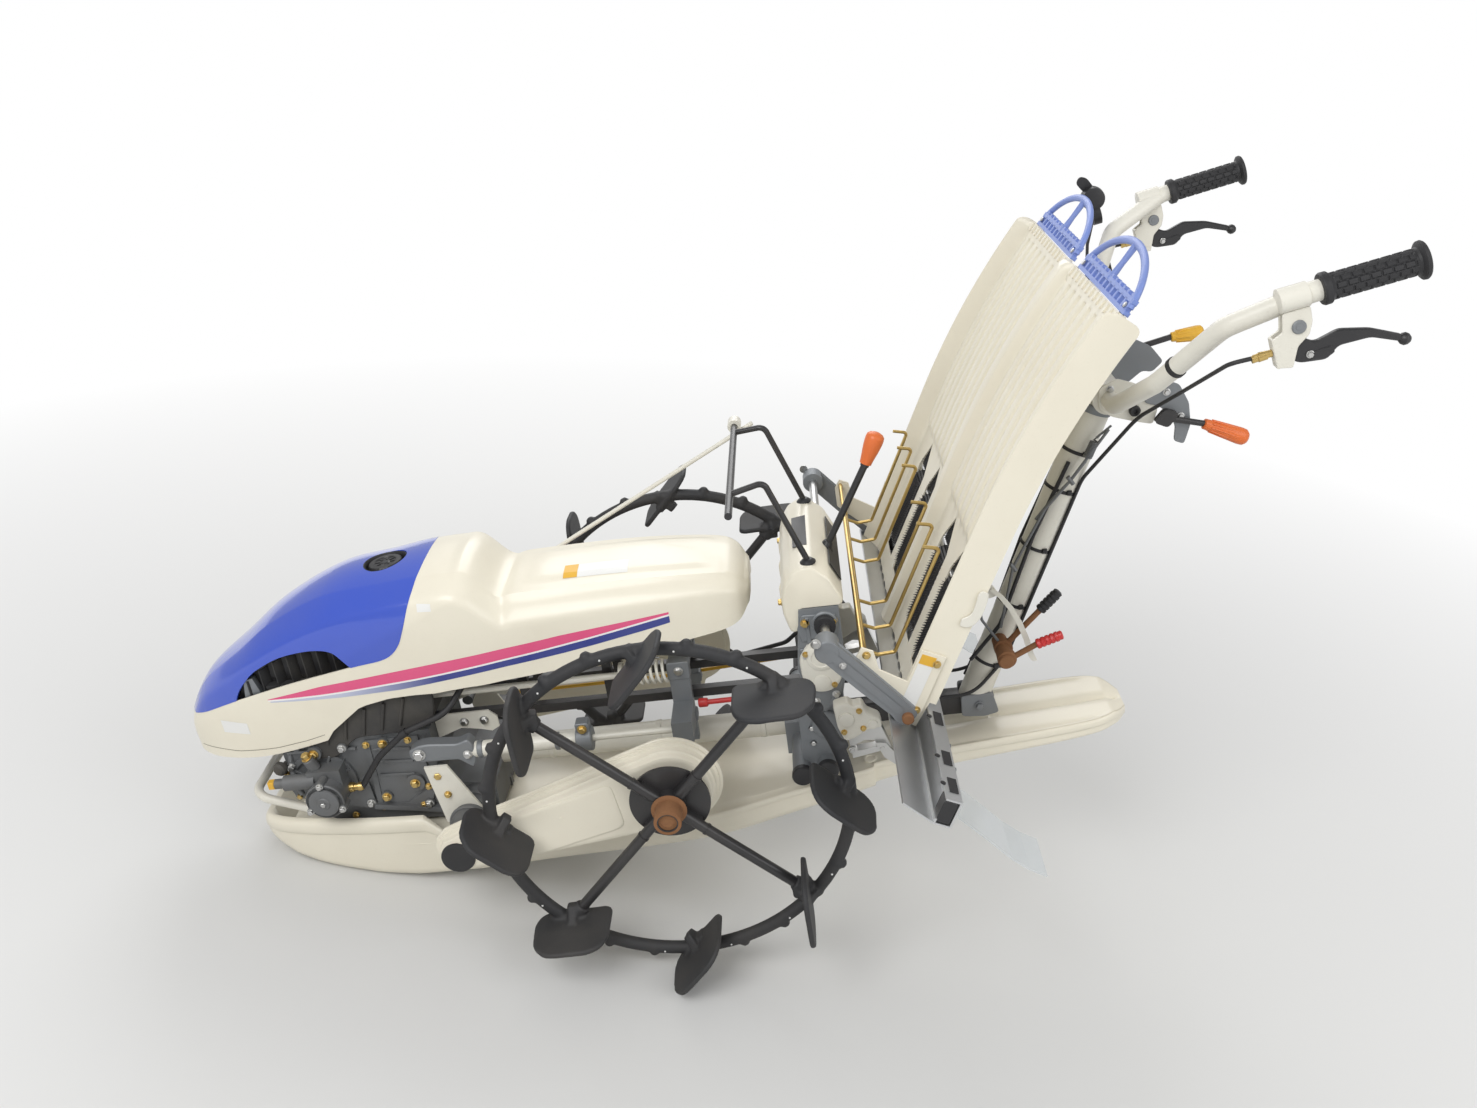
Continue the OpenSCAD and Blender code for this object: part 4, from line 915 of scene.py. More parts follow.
# Wheels: lugs, their phase at rest and their lean; radius of the lugged face, then the ring's radii
LUG_COUNT = 8
LUG_PHASE = 148.0 - 11.5
LUG_LEAN = math.radians(45)
RIM_R = 301.0
RING_C, RING_TUBE = 290.0, 11


def lug_matrix(angle, radius):
    t = math.radians(180 - angle)
    return Matrix.Translation((radius * math.cos(t), 0, radius * math.sin(t))) @ Matrix.Rotation(
        -(t + LUG_LEAN), 4, "Y")


def spoke_matrix(angle):
    return Matrix.Rotation(math.radians(angle), 4, "Y") @ Matrix.Rotation(math.radians(-90), 4, "Y")


def rubber_parts():
    """The lugged ring's parts, lapped, about the rim's centre."""
    bm = bmesh.new()
    rings = []
    for k in range(144):
        a = 2 * math.pi * k / 144
        ring = []
        for j in range(20):
            b = 2 * math.pi * j / 20
            reach = RING_C + RING_TUBE * math.cos(b)
            ring.append(Vector((reach * math.cos(a), RING_TUBE * math.sin(b), reach * math.sin(a))))
        rings.append(ring)
    add_rings(bm, rings, close_v=True)
    blade = rounded([(-65, -5), (-57, -13), (39, -13), (57, -3), (65, 17), (61, 71), (41, 93), (25, 97),
                     (-31, 97), (-53, 87), (-65, 63)], 16, 4)
    step = 360 / LUG_COUNT
    for k in range(LUG_COUNT):
        m = lug_matrix(LUG_PHASE - step * k, RIM_R - 22)
        levels = [(-4.5, 1.8), (-3.2, 0), (3.2, 0), (4.5, 1.8)]
        add_rings(bm, [[m @ Vector((x * (1 - inset / 60), 42 + (y - 42) * (1 - inset / 50), z))
                        for x, y in blade] for z, inset in levels])
        for side in (1, -1):
            web = [(-10, 0, 8), (20, 0, 8), (34, 0, 7), (16, side * 13, 7), (7, side * 24, 8),
                   (-11, side * 20, 8)]
            add_rings(bm, [[m @ Vector((w * s, y, z + side * 1.5)) for y, z, w in web]
                           for s in (-1, -0.4, 0.4, 1)])
            add_rings(bm, [[m @ Vector((s * 20, y, z))
                            for y, z in ((-11, side * 2), (18, side * 2), (9, side * 9), (-9, side * 9))]
                           for s in (-1, 1)])
        for j in (1, 2):
            a = math.radians(LUG_PHASE - step * k + step * j / 3)
            out = Vector((-math.cos(a), 0, math.sin(a)))
            add_tube(bm, [out * (RIM_R - 12), out * (RIM_R - 3), out * (RIM_R + 3), out * (RIM_R + 6.2)], 9,
                     16, radii=[12.5, 10.5, 8, 5.5])
    for k in range(4):
        m = spoke_matrix(LUG_PHASE - 90 * k)
        add_tube(bm, [m @ Vector((0, 0, z)) for z in (251, 257, 268, 280, 287)], 14, 20,
                 radii=[12.6, 13.4, 14, 15, 17])
        web = [(-26, 283), (-12, 268), (12, 268), (26, 283)]
        add_rings(bm, [[m @ Vector((s * 7, x, z)) for x, z in web] for s in (-1, 1)])
    return bm


class TRANSPLANTER_OT_wheels(bpy.types.Operator):
    """Lugged rubber rings with flowing webs, spoke sleeves and rusty hub pipes"""
    bl_idname = "transplanter.wheels"
    bl_label = "Wheels"

    def execute(self, context):
        bm = rubber_parts()
        bmesh.ops.recalc_face_normals(bm, faces=bm.faces)
        mesh = bpy.data.meshes.new("rubber_parts")
        bm.to_mesh(mesh)
        bm.free()
        raw = bpy.data.objects.new("rubber_parts", mesh)
        context.scene.collection.objects.link(raw)
        re = raw.modifiers.new("flow", "REMESH")
        re.mode = "VOXEL"
        re.voxel_size = 2.5
        soft = raw.modifiers.new("soft", "SMOOTH")
        soft.factor = 0.5
        soft.iterations = 4
        deps = context.evaluated_depsgraph_get()
        flowing = bpy.data.meshes.new_from_object(raw.evaluated_get(deps))
        bpy.data.objects.remove(raw)
        for name, side in SIDES:
            bm = bmesh.new()
            bm.from_mesh(flowing)
            for v in bm.verts:
                v.co = Vector((v.co.x, side * (v.co.y + HALF_TREAD), v.co.z))
                at = STANCE @ v.co
                if at.z < GROUND_GAP:
                    v.co = STANCE.inverted() @ Vector((at.x, at.y, GROUND_GAP))
            if side < 0:
                bmesh.ops.reverse_faces(bm, faces=bm.faces[:])
            obj_from(bm, "rubber_" + name, "lug_rubber", "wheel_" + name, 80, 0.05, False,
                     nodes=("wheel_%s_tyre" % name,))
            bm = bmesh.new()
            c = Vector((0, side * HALF_TREAD, 0))
            out = Vector((0, side, 0))
            add_lathe(bm, [(12, 21.9), (14, 22.3), (30, 22.1), (44.4, 22.3), (45.6, 21.4), (45.8, 17),
                           (42, 16.4), (41.4, 11), (42.6, 9), (41.6, 7), (42.4, 3), (42.4, 0.4)], c, out, 40)
            add_lathe(bm, [(9.5, 26), (11, 29), (13.4, 25), (14.2, 22)], c, out, 40)
            obj_from(bm, "hub_pipe_" + name, "rusty_steel", "wheel_" + name, 40)
            bm = bmesh.new()
            for k in range(16):
                a = math.radians(LUG_PHASE + 22.5 * k + 11)
                p = c + Vector((-math.cos(a) * (RING_C + 1), 0, math.sin(a) * (RING_C + 1)))
                add_lathe(bm, [(10.2, 1.7), (11.3, 1.6), (11.6, 0.8)], p, out, 10)
            for k in range(4):
                m = spoke_matrix(LUG_PHASE - 90 * k)
                for z, r in ((254, 10.8), (72, 10.2)):
                    at = m @ Vector((0, 0, z))
                    add_tube(bm, [c + at, c + m @ Vector((0, 0, z + 3.5))], r, 20, mat=1)
                add_tube(bm, [c + m @ Vector((0, side * -8.5, 250)), c + m @ Vector((0, side * -11, 250))], 2,
                         8, mat=1)
            obj_from(bm, "wheel_trim_" + name, ["white_plastic", "black_steel"], "wheel_" + name, 40)
        return {"FINISHED"}


# Swing cases: inner face and thickness, pivot, radii of both ends, drain swell
CASE_IN, CASE_T = 218.0, 44.0
PIVOT = (375.0, -90.0)
AXLE_END_R, PIVOT_END_R = 84, 45
DRAIN, DRAIN_R = np.array((10.0, -78.0)), 34


def case_outline(grow):
    """Outline of a swing case: round the axle, the pivot and the drain swell, found by halving."""
    centre, count = np.array((90.0, -35.0)), 120
    s = np.linspace(0, 1, 80)[:, None]
    spine = s * np.array(PIVOT)
    radius = AXLE_END_R + (PIVOT_END_R - AXLE_END_R) * s[:, 0] + grow
    out = []
    for k in range(count):
        a = 2 * math.pi * k / count
        d = np.array((math.cos(a), math.sin(a)))
        low, high = 0.0, 420.0
        for _ in range(22):
            mid = (low + high) / 2
            p = centre + d * mid
            inside = ((np.linalg.norm(p - spine, axis=1) <= radius).any()
                      or np.linalg.norm(p - DRAIN) <= DRAIN_R + grow)
            low, high = (mid, high) if inside else (low, mid)
        out.append(tuple(centre + d * low))
    return out


class TRANSPLANTER_OT_swing_cases(bpy.types.Operator):
    """Swing cases with stepped, rounded edges, a raised panel and a dark cap over the pivot"""
    bl_idname = "transplanter.swing_cases"
    bl_label = "Swing cases"

    def execute(self, context):
        steps = [(0, -12), (1.5, -9), (7, -8.6), (8, -2), (9.2, -0.2), (12.6, 0), (13.8, -1.4), (14.4, -4.6),
                 (18.8, -5.4), (20, -9.8), (22, -10.8), (30.6, -11.6), (32.2, -14.2), (34, -15.2), (39, -16),
                 (42.4, -17.6), (43.8, -21), (44, -25)]
        outlines = {g: case_outline(g) for _, g in steps}
        panel = rounded([(318, -36), (96, 28), (84, -58), (262, -106), (322, -96)], 14)
        c = Vector((sum(p[0] for p in panel) / len(panel), sum(p[1] for p in panel) / len(panel)))
        for name, side in SIDES:
            bm = bmesh.new()
            add_rings(bm, [[Vector((x, side * (CASE_IN + y), z)) for x, z in outlines[g]] for y, g in steps])
            levels = [(43.5, 0), (45.2, 0.6), (46.4, 3), (46.6, 6)]
            add_rings(bm, [[Vector((c.x + (x - c.x) * (1 - i / 90), side * (CASE_IN + h),
                                    c.y + (z - c.y) * (1 - i / 50))) for x, z in panel] for h, i in levels])
            lathe_out(bm, [(CASE_T - 1, 31), (CASE_T + 0.6, 30), (CASE_T + 1.4, 27.5), (CASE_T + 4, 27)],
                      (0, CASE_IN, 0), side, 48)
            for x, z in ((188, -30), (286, -62)):
                lathe_out(bm, [(CASE_T + 1, 4), (CASE_T + 3.2, 3.4), (CASE_T + 3.4, 2)],
                          (x, CASE_IN, z), side, 12)
            obj_from(bm, "swing_case_skin_" + name, "cream_plastic", "machine", 28,
                     nodes=("swing_case_" + name,))
        bm = bmesh.new()
        for side in (1, -1):
            lathe_out(bm, [(-1, 29), (0.6, 29), (2.6, 28), (3.4, 26), (3.2, 20), (3.2, 0.5)],
                      (PIVOT[0], CASE_IN + CASE_T, PIVOT[1]), side, 56)
        obj_from(bm, "pivot_cap_discs", "black_plastic", "machine", 30, nodes=("pivot_caps",))
        return {"FINISHED"}


# Tray: its straight height, then the radius and angle of its bend; its lanes' half widths, centres and
# ribs; its belts' width and places; the stoppers' arches; the side plates' place and outline
TRAY = "seedling_tray"
TRAY_STRAIGHT, TRAY_BEND_R, TRAY_BEND = 330.0, 1474.0, math.radians(14.4)
LANE_HW, LANE_C, LANE_RIBS, RIB_DEEP = 325.0, 175.0, 8, 9.0
BELT_W, BELT_ROWS = 60.0, (-235.0, -115.0, 115.0, 235.0)
# Belt loop: its shafts' place in X, their heights, its radius; then its opening in the tray: half
# width, lower edge, where it starts to narrow and its point
BELT_X, BELT_LOW, BELT_HIGH, BELT_R = -16, 60, 180, 18
OPENING_HW, OPENING_LOW, OPENING_BEND, OPENING_TOP = BELT_W / 2 + 6, 26, 205, 262
OPENING_POINT = OPENING_TOP - OPENING_BEND
ARCH_HW, ARCH_HIGH = 143, 84
PLATE_Y = 345.6
SIDE_PLATE = [(-8, 2), (84, 30), (108, 38), (126, 74), (124, 94), (104, 94), (84, 66), (34, 60),
              (34, 120), (-8, 120)]
# Float: half widths along X, then heights of its upper side and of its bottom along X
FLOAT_PLAN = [(797.5, 14), (795, 40), (778, 78), (732, 104), (640, 124), (505, 138), (250, 150), (60, 160),
              (-60, 156), (-170, 128), (-250, 108), (-330, 100), (-345, 88), (-500, 86), (-700, 80),
              (-760, 62), (-786, 30)]
FLOAT_X, FLOAT_W = [p[0] for p in FLOAT_PLAN[::-1]], [p[1] for p in FLOAT_PLAN[::-1]]
FLOAT_TOP = ([-786, -760, -391, -250, 100, 425, 770, 790, 797],
             [-72, -62, -92, -118, -136, -132, -132, -133, -140])
FLOAT_LOW = ([-786, -678, -540, -391, -250, 29, 250, 380, 505, 575, 640, 690, 735, 780, 797],
             [-90, -104, -120, -139, -172, -192, -210, -222, -226, -219, -206.5, -194, -178, -142, -130])
LEDGE_DROP = 7
# Bosses on the gearbox's near side: place, radius, reach
GEARBOX_BOSSES = [(476, -38, 17, 10), (461, -85, 9, 8), (534, -62, 10, 8), (565, -72, 9, 8),
                  (638, 46, 13, 16), (587, 50, 9, 12), (514, 50, 10, 10), (688, 20, 9, 8), (672, -48, 10, 9),
                  (440, -22, 7, 12)]
FRONT_HOUSING = Vector((640, -20))
ROUND_BOSS = (621, -23)
ROUND_BOSS_BOLTS = [(ROUND_BOSS[0] + 33 * math.cos(t), ROUND_BOSS[1] + 33 * math.sin(t))
                    for t in (math.radians(a) for a in (90, 210, 330))]


class TRANSPLANTER_OT_float(bpy.types.Operator):
    """The float: a fat rim round the bow, a sunk deck, side ledges and a tail of two long lobes"""
    bl_idname = "transplanter.float"
    bl_label = "Float"

    def execute(self, context):
        plan = catmull([(p[0], p[1]) for p in FLOAT_PLAN], 6)
        bm = bmesh.new()
        rings = []
        for x, w in plan:
            if x < -786:
                continue
            top = float(np.interp(x, FLOAT_TOP[0], FLOAT_TOP[1]))
            low = max(float(np.interp(x, FLOAT_LOW[0], FLOAT_LOW[1])), (x * math.sin(NOSE_DOWN) - AXLE_HEIGHT)
                      / math.cos(NOSE_DOWN) + 0.2)
            bow = smooth_step(x, 424, 446)
            rim = top + 40 * bow * (1 - smooth_step(x, 775, 797) * 0.5)
            seam = min(-118.0, rim - 10) if x > -300 else rim - 14 + 4 * smooth_step(x, -400, -300)
            hull = w - 4
            bilge = min(24.0, (seam - low) * 0.45, hull * 0.5)
            half = [(hull * k / 5 * (1 - bilge / hull), low) for k in range(5)]
            half += [(hull - bilge + bilge * math.sin(a), low + bilge - bilge * math.cos(a))
                     for a in (math.pi / 2 * k / 6 for k in range(7))]
            half += [(hull, (low + bilge + seam) / 2), (hull, seam - 2.5), (w - 1, seam - 0.5),
                     (w, seam + 1.5)]
            r = 13 * bow + 5 * (1 - bow)
            r = min(r, (rim - seam - 1.5) * 0.95)
            half += [(w - r + r * math.cos(a), rim - r + r * math.sin(a))
                     for a in (math.pi / 2 * k / 6 for k in range(7))]
            inner = 24 * bow + 6
            close = bow * (1 - smooth_step(x, 738, 768))
            floor = rim + (max(-131.0, low + 4) - rim) * close
            ledge = LEDGE_DROP * smooth_step(x, -196, -180) * (1 - smooth_step(x, 236, 252))
            end = w - inner - 3
            step = [(w - inner * 0.55, rim + (floor - rim) * 0.12),
                    (w - inner * 0.82, rim + (floor - rim) * 0.55),
                    (w - inner, rim + (floor - rim) * 0.9), (end, floor)]
            half += [(y, z - ledge) for y, z in step]
            tail = 1 - smooth_step(x, -372, -338)
            for k in range(1, 19):
                y = end * (1 - k / 18)
                lobe = max(0.0, 1 - (abs(y - 40) / 38.0) ** 3) ** 0.6
                sink = ledge * (1 - smooth_step(end - y, 4, 14))
                half.append((y, floor - sink + tail * (10 * lobe - 10) * smooth_step(x, -786, -770)))
            rings.append([Vector((x, y, z)) for y, z in half + [(-y, z) for y, z in half[-2:0:-1]]])
        add_rings(bm, rings)
        bm.normal_update()
        obj_from(bm, "float_skin", "cream_plastic", "machine", 32, nodes=("float",))
        bm = bmesh.new()
        for side in (1, -1):
            for x, y, sunk in ((300, 118, 0), (20, 122, LEDGE_DROP), (-140, 96, LEDGE_DROP), (-330, 70, 0),
                               (-560, 0, 10)):
                z = float(np.interp(x, FLOAT_TOP[0], FLOAT_TOP[1])) - sunk
                add_lathe(bm, [(-2, 13), (1.0, 13), (2.2, 11.6), (2.4, 8), (1.2, 7), (1.2, 0.5)],
                          (x, side * y, z), (0, 0, 1), 28)
            for x, w in ((150, 150), (-40, 152), (330, 142)):
                lathe_out(bm, [(-3, 9), (0.6, 9), (1.4, 7.5), (1.4, 0.5)], (x, w - 3, -150), side, 24)
            add_tube(bm, [(x, side * (float(np.interp(x, FLOAT_X, FLOAT_W)) - 5.2), z)
                          for x, z in ((742, -118), (690, -131), (627, -140), (560, -145), (486, -148),
                                       (380, -149), (250, -148))], 2.2, 8)
        obj_from(bm, "float_bosses", "cream_plastic", "machine", 30)
        return {"FINISHED"}


def spikes_group():
    """Short spikes on every face of a mesh, square to it, of slightly uneven length."""
    g, i, o = new_group("spikes_on_faces", [
        ("Geometry", "shape", None), ("Spike Length", "value", 0.006), ("Spike Radius", "value", 0.0012),
        ("Unevenness", "value", 0.2), ("Seed", "count", 7), ("Material", "material", None)],
        [("Geometry", "shape")], "GeometryNodeTree")
    keep = node(g, "GeometryNodeCaptureAttribute", domain="FACE")
    keep.capture_items.new("VECTOR", "Normal")
    points = node(g, "GeometryNodeMeshToPoints", mode="FACES")
    cone = node(g, "GeometryNodeMeshCone", **{"Vertices": 5, "Radius Top": 0.0003})
    lie = node(g, "FunctionNodeAlignRotationToVector", axis="Z")
    size = node(g, "FunctionNodeRandomValue", data_type="FLOAT")
    place = node(g, "GeometryNodeInstanceOnPoints")
    real = node(g, "GeometryNodeRealizeInstances")
    paint = node(g, "GeometryNodeSetMaterial")
    for source, target in (
            (i.outputs["Geometry"], keep.inputs["Geometry"]),
            (node(g, "GeometryNodeInputNormal").outputs["Normal"], keep.inputs["Normal"]),
            (keep.outputs["Geometry"], points.inputs["Mesh"]),
            (i.outputs["Spike Radius"], cone.inputs["Radius Bottom"]),
            (i.outputs["Spike Length"], cone.inputs["Depth"]),
            (keep.outputs["Normal"], lie.inputs["Vector"]),
            (maths(g, "SUBTRACT", 1.0, i.outputs["Unevenness"]), size.inputs[2]),
            (i.outputs["Seed"], size.inputs["Seed"]),
            (points.outputs["Points"], place.inputs["Points"]),
            (cone.outputs["Mesh"], place.inputs["Instance"]),
            (lie.outputs["Rotation"], place.inputs["Rotation"]),
            (size.outputs[1], place.inputs["Scale"]),
            (place.outputs["Instances"], real.inputs["Geometry"]),
            (real.outputs["Geometry"], paint.inputs["Geometry"]),
            (i.outputs["Material"], paint.inputs["Material"]),
            (paint.outputs["Geometry"], o.inputs["Geometry"])):
        link(g, source, target)
    return g


def grown_mesh(bm, group, values):
    """The plain mesh that a Geometry Nodes group makes of a mesh in metres."""
    mesh = bpy.data.meshes.new("seed_mesh")
    bm.to_mesh(mesh)
    o = bpy.data.objects.new("seed_mesh", mesh)
    bpy.context.scene.collection.objects.link(o)
    mod = o.modifiers.new("grow", "NODES")
    mod.node_group = group
    ids = {s.name: s.identifier
           for s in group.interface.items_tree if s.item_type == "SOCKET" and s.in_out == "INPUT"}
    for key, value in values.items():
        mod[ids[key]] = value
    deps = bpy.context.evaluated_depsgraph_get()
    out = bpy.data.meshes.new_from_object(o.evaluated_get(deps))
    o.modifiers.remove(mod)
    bpy.data.objects.remove(o)
    return out


def tray_bend(p):
    """Bends the upper part of the straight tray back, in the tray's own frame."""
    if p.z <= TRAY_STRAIGHT:
        return p
    a = (p.z - TRAY_STRAIGHT) / TRAY_BEND_R
    return Vector((-TRAY_BEND_R + (TRAY_BEND_R + p.x) * math.cos(a), p.y,
                   TRAY_STRAIGHT + (TRAY_BEND_R + p.x) * math.sin(a)))


class TRANSPLANTER_OT_tray(bpy.types.Operator):
    """Seedling tray: deep rounded ribs, rounded walls and divider, pointed belt openings, notched top"""
    bl_idname = "transplanter.tray"
    bl_label = "Seedling tray"

    def execute(self, context):
        half = [(0, 22.5), (8, 22.5), (14, 21), (17.5, 17), (20, 8), (24, 1.5), (27, 0)]
        pitch = (LANE_HW - 26 - 14) / LANE_RIBS
        for k in range(LANE_RIBS):
            y = 33 + pitch * k
            half += [(y + pitch * u, RIB_DEEP * h) for u, h in ((0.02, 0), (0.1, 0.02), (0.13, 0.16),
                                                                (0.17, 0.55), (0.21, 0.88), (0.28, 1),
                                                                (0.5, 1.04), (0.72, 1), (0.79, 0.88),
                                                                (0.83, 0.55), (0.87, 0.16), (0.9, 0.02))]
        half += [(LANE_HW, 0.4), (LANE_HW + 3, 3), (LANE_HW + 5, 8), (LANE_HW + 14, 30),
                 (LANE_HW + 15.2, 33.4), (LANE_HW + 17.4, 34.6), (344.4, 33), (344.8, 29), (344.8, 10)]
        half += [(344.6, x) for x in (-10, -15, -19.5, -23, -25.3, -26)]
        section = [(-y, x) for y, x in half[::-1] if y > 0] + half
        top = TRAY_STRAIGHT + TRAY_BEND_R * TRAY_BEND
        rows = [-16, -4, 12, 26, 45, 75, 105, 135, 165, 190, 205, 220, 240, 262, 268, 274, 280, 286,
                300, 315, 330]
        rows += [330 + (top - 36 - 330) * k / 16 for k in range(1, 17)] + [
            top - back for back in (29, 26, 22, 16, 12, 8, 5, 2.6, 1, 0.25, 0)]
        bm = bmesh.new()
        grid = []
        for z in rows:
            line = []
            for y, x in section:
                start = -20 + (x + 12) * 18 / 53 + 0.4 if x > -11 else 32.3
                deep = x
                if 26 < abs(y) < LANE_HW - 0.1:
                    deep = x * smooth_step(z, 262, 288)
                    if z > top - 29:
                        deep += (RIB_DEEP - deep) * smooth_step(z, top - 29, top - 25)
                elif z > top - 16 and x > RIB_DEEP:
                    deep = RIB_DEEP + (x - RIB_DEEP) * math.sqrt(max(0, 1 - ((z - top + 16) / 16) ** 2))
                end = top - 12 + 12 * math.sqrt(max(0, 1 - ((x + 14) / 12) ** 2)) if x < -14 else top
                line.append(bm.verts.new((deep, y, min(max(z, start), end))))
            grid.append(line)
        for a, b in zip(grid, grid[1:]):
            for k in range(len(section) - 1):
                bm.faces.new((a[k], a[k + 1], b[k + 1], b[k]))
        bmesh.ops.remove_doubles(bm, verts=bm.verts, dist=0.01)
        bmesh.ops.dissolve_degenerate(bm, edges=bm.edges, dist=0.005)
        w = OPENING_HW
        for c in BELT_ROWS:
            for s in (-1, 1):
                cut_faces(bm, [f for f in bm.faces if abs(f.calc_center_median().y - c) < w + 8
                               and OPENING_LOW - 6 < f.calc_center_median().z < OPENING_BEND + 1],
                          (0, c + s * w, 0), (0, 1, 0))
                cut_faces(bm, [f for f in bm.faces if 0 <= s * (f.calc_center_median().y - c) < w + 8
                               and OPENING_BEND - 1 < f.calc_center_median().z < OPENING_TOP + 1],
                          (0, c + s * w, OPENING_BEND), (0, OPENING_POINT, s * w))
            gone = []
            for f in bm.faces:
                p = f.calc_center_median()
                inside = w if p.z < OPENING_BEND else w * (OPENING_TOP - p.z) / OPENING_POINT
                if OPENING_LOW < p.z < OPENING_TOP and abs(p.y - c) < inside and p.x > -2:
                    gone.append(f)
            bmesh.ops.delete(bm, geom=gone, context="FACES")
        thicken(bm, 2.6)
        for side in (1, -1):
            for y0, y1, outline in ((PLATE_Y, PLATE_Y + 4, SIDE_PLATE),
                                    (341, PLATE_Y + 0.6, [(22, 10), (34, 10), (34, 110), (22, 110)])):
                add_prism(bm, outline, *between(side, y0, y1), bevel=0.8)
            for k in range(13):
                y = side * (36 + k * 23.2)
                add_box(bm, (RIB_DEEP - 0.5, y - 4.6, top - 16),
                        (RIB_DEEP + 3.4, y + 4.6, top - 1), bevel=0.8)
        for v in bm.verts:
            v.co = SLOPE @ tray_bend(v.co)
        obj_from(bm, "tray_moulding", "cream_plastic", TRAY, 34, nodes=("tray",))
        bm = bmesh.new()
        add_box(bm, (6, PLATE_Y + 3.9, 20), (30, PLATE_Y + 4.7, 96), bevel=0.2, to=SLOPE)
        add_box(bm, (6, PLATE_Y + 3.9, 97), (30, PLATE_Y + 4.7, 114), bevel=0.2, mat=1, to=SLOPE)
        obj_from(bm, "tray_blank_plate", ["white_plastic", "yellow_plastic"], TRAY, 30)
        bm = bmesh.new()
        for side in (1, -1):
            for x, z in ((2, 16), (2, 104), (112, 84)):
                add_bolt(bm, SLOPE @ Vector((x, side * (PLATE_Y + 3.8), z)), (0, side, 0), 9, 4.5)
        obj_from(bm, "tray_bolts", "gold_steel", TRAY, 30)
        return {"FINISHED"}


class TRANSPLANTER_OT_belts(bpy.types.Operator):
    """Feed belts with cross ribs and rows of spikes"""
    bl_idname = "transplanter.belts"
    bl_label = "Feed belts"

    def execute(self, context):
        run = BELT_HIGH - BELT_LOW
        turns = [(math.cos(math.pi * k / 10), math.sin(math.pi * k / 10)) for k in range(10)]
        loop = [(BELT_X + BELT_R, BELT_LOW + run * k / 24) for k in range(24)]
        loop += [(BELT_X + BELT_R * c, BELT_HIGH + BELT_R * s) for c, s in turns]
        loop += [(BELT_X - BELT_R, BELT_HIGH - run * k / 24) for k in range(24)]
        loop += [(BELT_X - BELT_R * c, BELT_LOW - BELT_R * s) for c, s in turns]
        n = len(loop)

        def ring(shrink, y):
            out = []
            for k, (x, z) in enumerate(loop):
                d = Vector((x - BELT_X, z - min(max(z, BELT_LOW), BELT_HIGH))).normalized()
                s = shrink + (0.9 if k % 2 else 0)
                out.append(SLOPE @ Vector((x - d.x * s, y, z - d.y * s)))
            return out

        def seed_face(*corners):
            seed.faces.new([seed.verts.new(STANCE @ SLOPE @ Vector(p)) for p in corners])

        guide = [(-18, 199.4), (-10, 201), (-5, 208), (-5, 264), (-7.5, 264), (-7.5, 211),
                 (-11, 204), (-18, 202)]
        bm, seed = bmesh.new(), bmesh.new()
        w = BELT_W / 2
        for c in BELT_ROWS:
            add_prism(bm, guide, c - w - 3, c + w + 3, bevel=0.4, to=SLOPE)
            add_rings(bm, [ring(shrink, y) for shrink, y in ((3.4, c - w + 0.2), (0.8, c - w + 0.2),
                                                             (0, c - w + 1.2), (0, c + w - 1.2),
                                                             (0.8, c + w - 0.2), (3.4, c + w - 0.2))],
                      close_v=True)
            for k in range(n):
                x0, z0 = loop[k]
                x1, z1 = loop[(k + 1) % n]
                z = 212 + 5 * k
                for j in range(7):
                    y0 = c - w + 3 + (BELT_W - 6) * j / 7
                    y1 = y0 + (BELT_W - 6) / 7
                    seed_face((x0, y0, z0), (x0, y1, z0), (x1, y1, z1), (x1, y0, z1))
                    room = OPENING_HW * (OPENING_TOP - z) / OPENING_POINT - 5
                    if k < 8 and abs((y0 + y1) / 2 - c) < room:
                        seed_face((-5, y0, z), (-5, y1, z), (-5, y1, z + 5), (-5, y0, z + 5))
        obj_from(bm, "feed_belt_loops", "black_rubber", TRAY, 30, nodes=("feed_belts",))
        seed.normal_update()
        mesh = grown_mesh(seed, spikes_group(), {"Spike Length": 0.0075, "Spike Radius": 0.0013,
                                                 "Unevenness": 0.2, "Seed": 7,
                                                 "Material": MATS["black_rubber"]})
        seed.free()
        o = bpy.data.objects.new("feed_belt_spikes", mesh)
        context.scene.collection.objects.link(o)
        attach(o, TRAY)
        return {"FINISHED"}


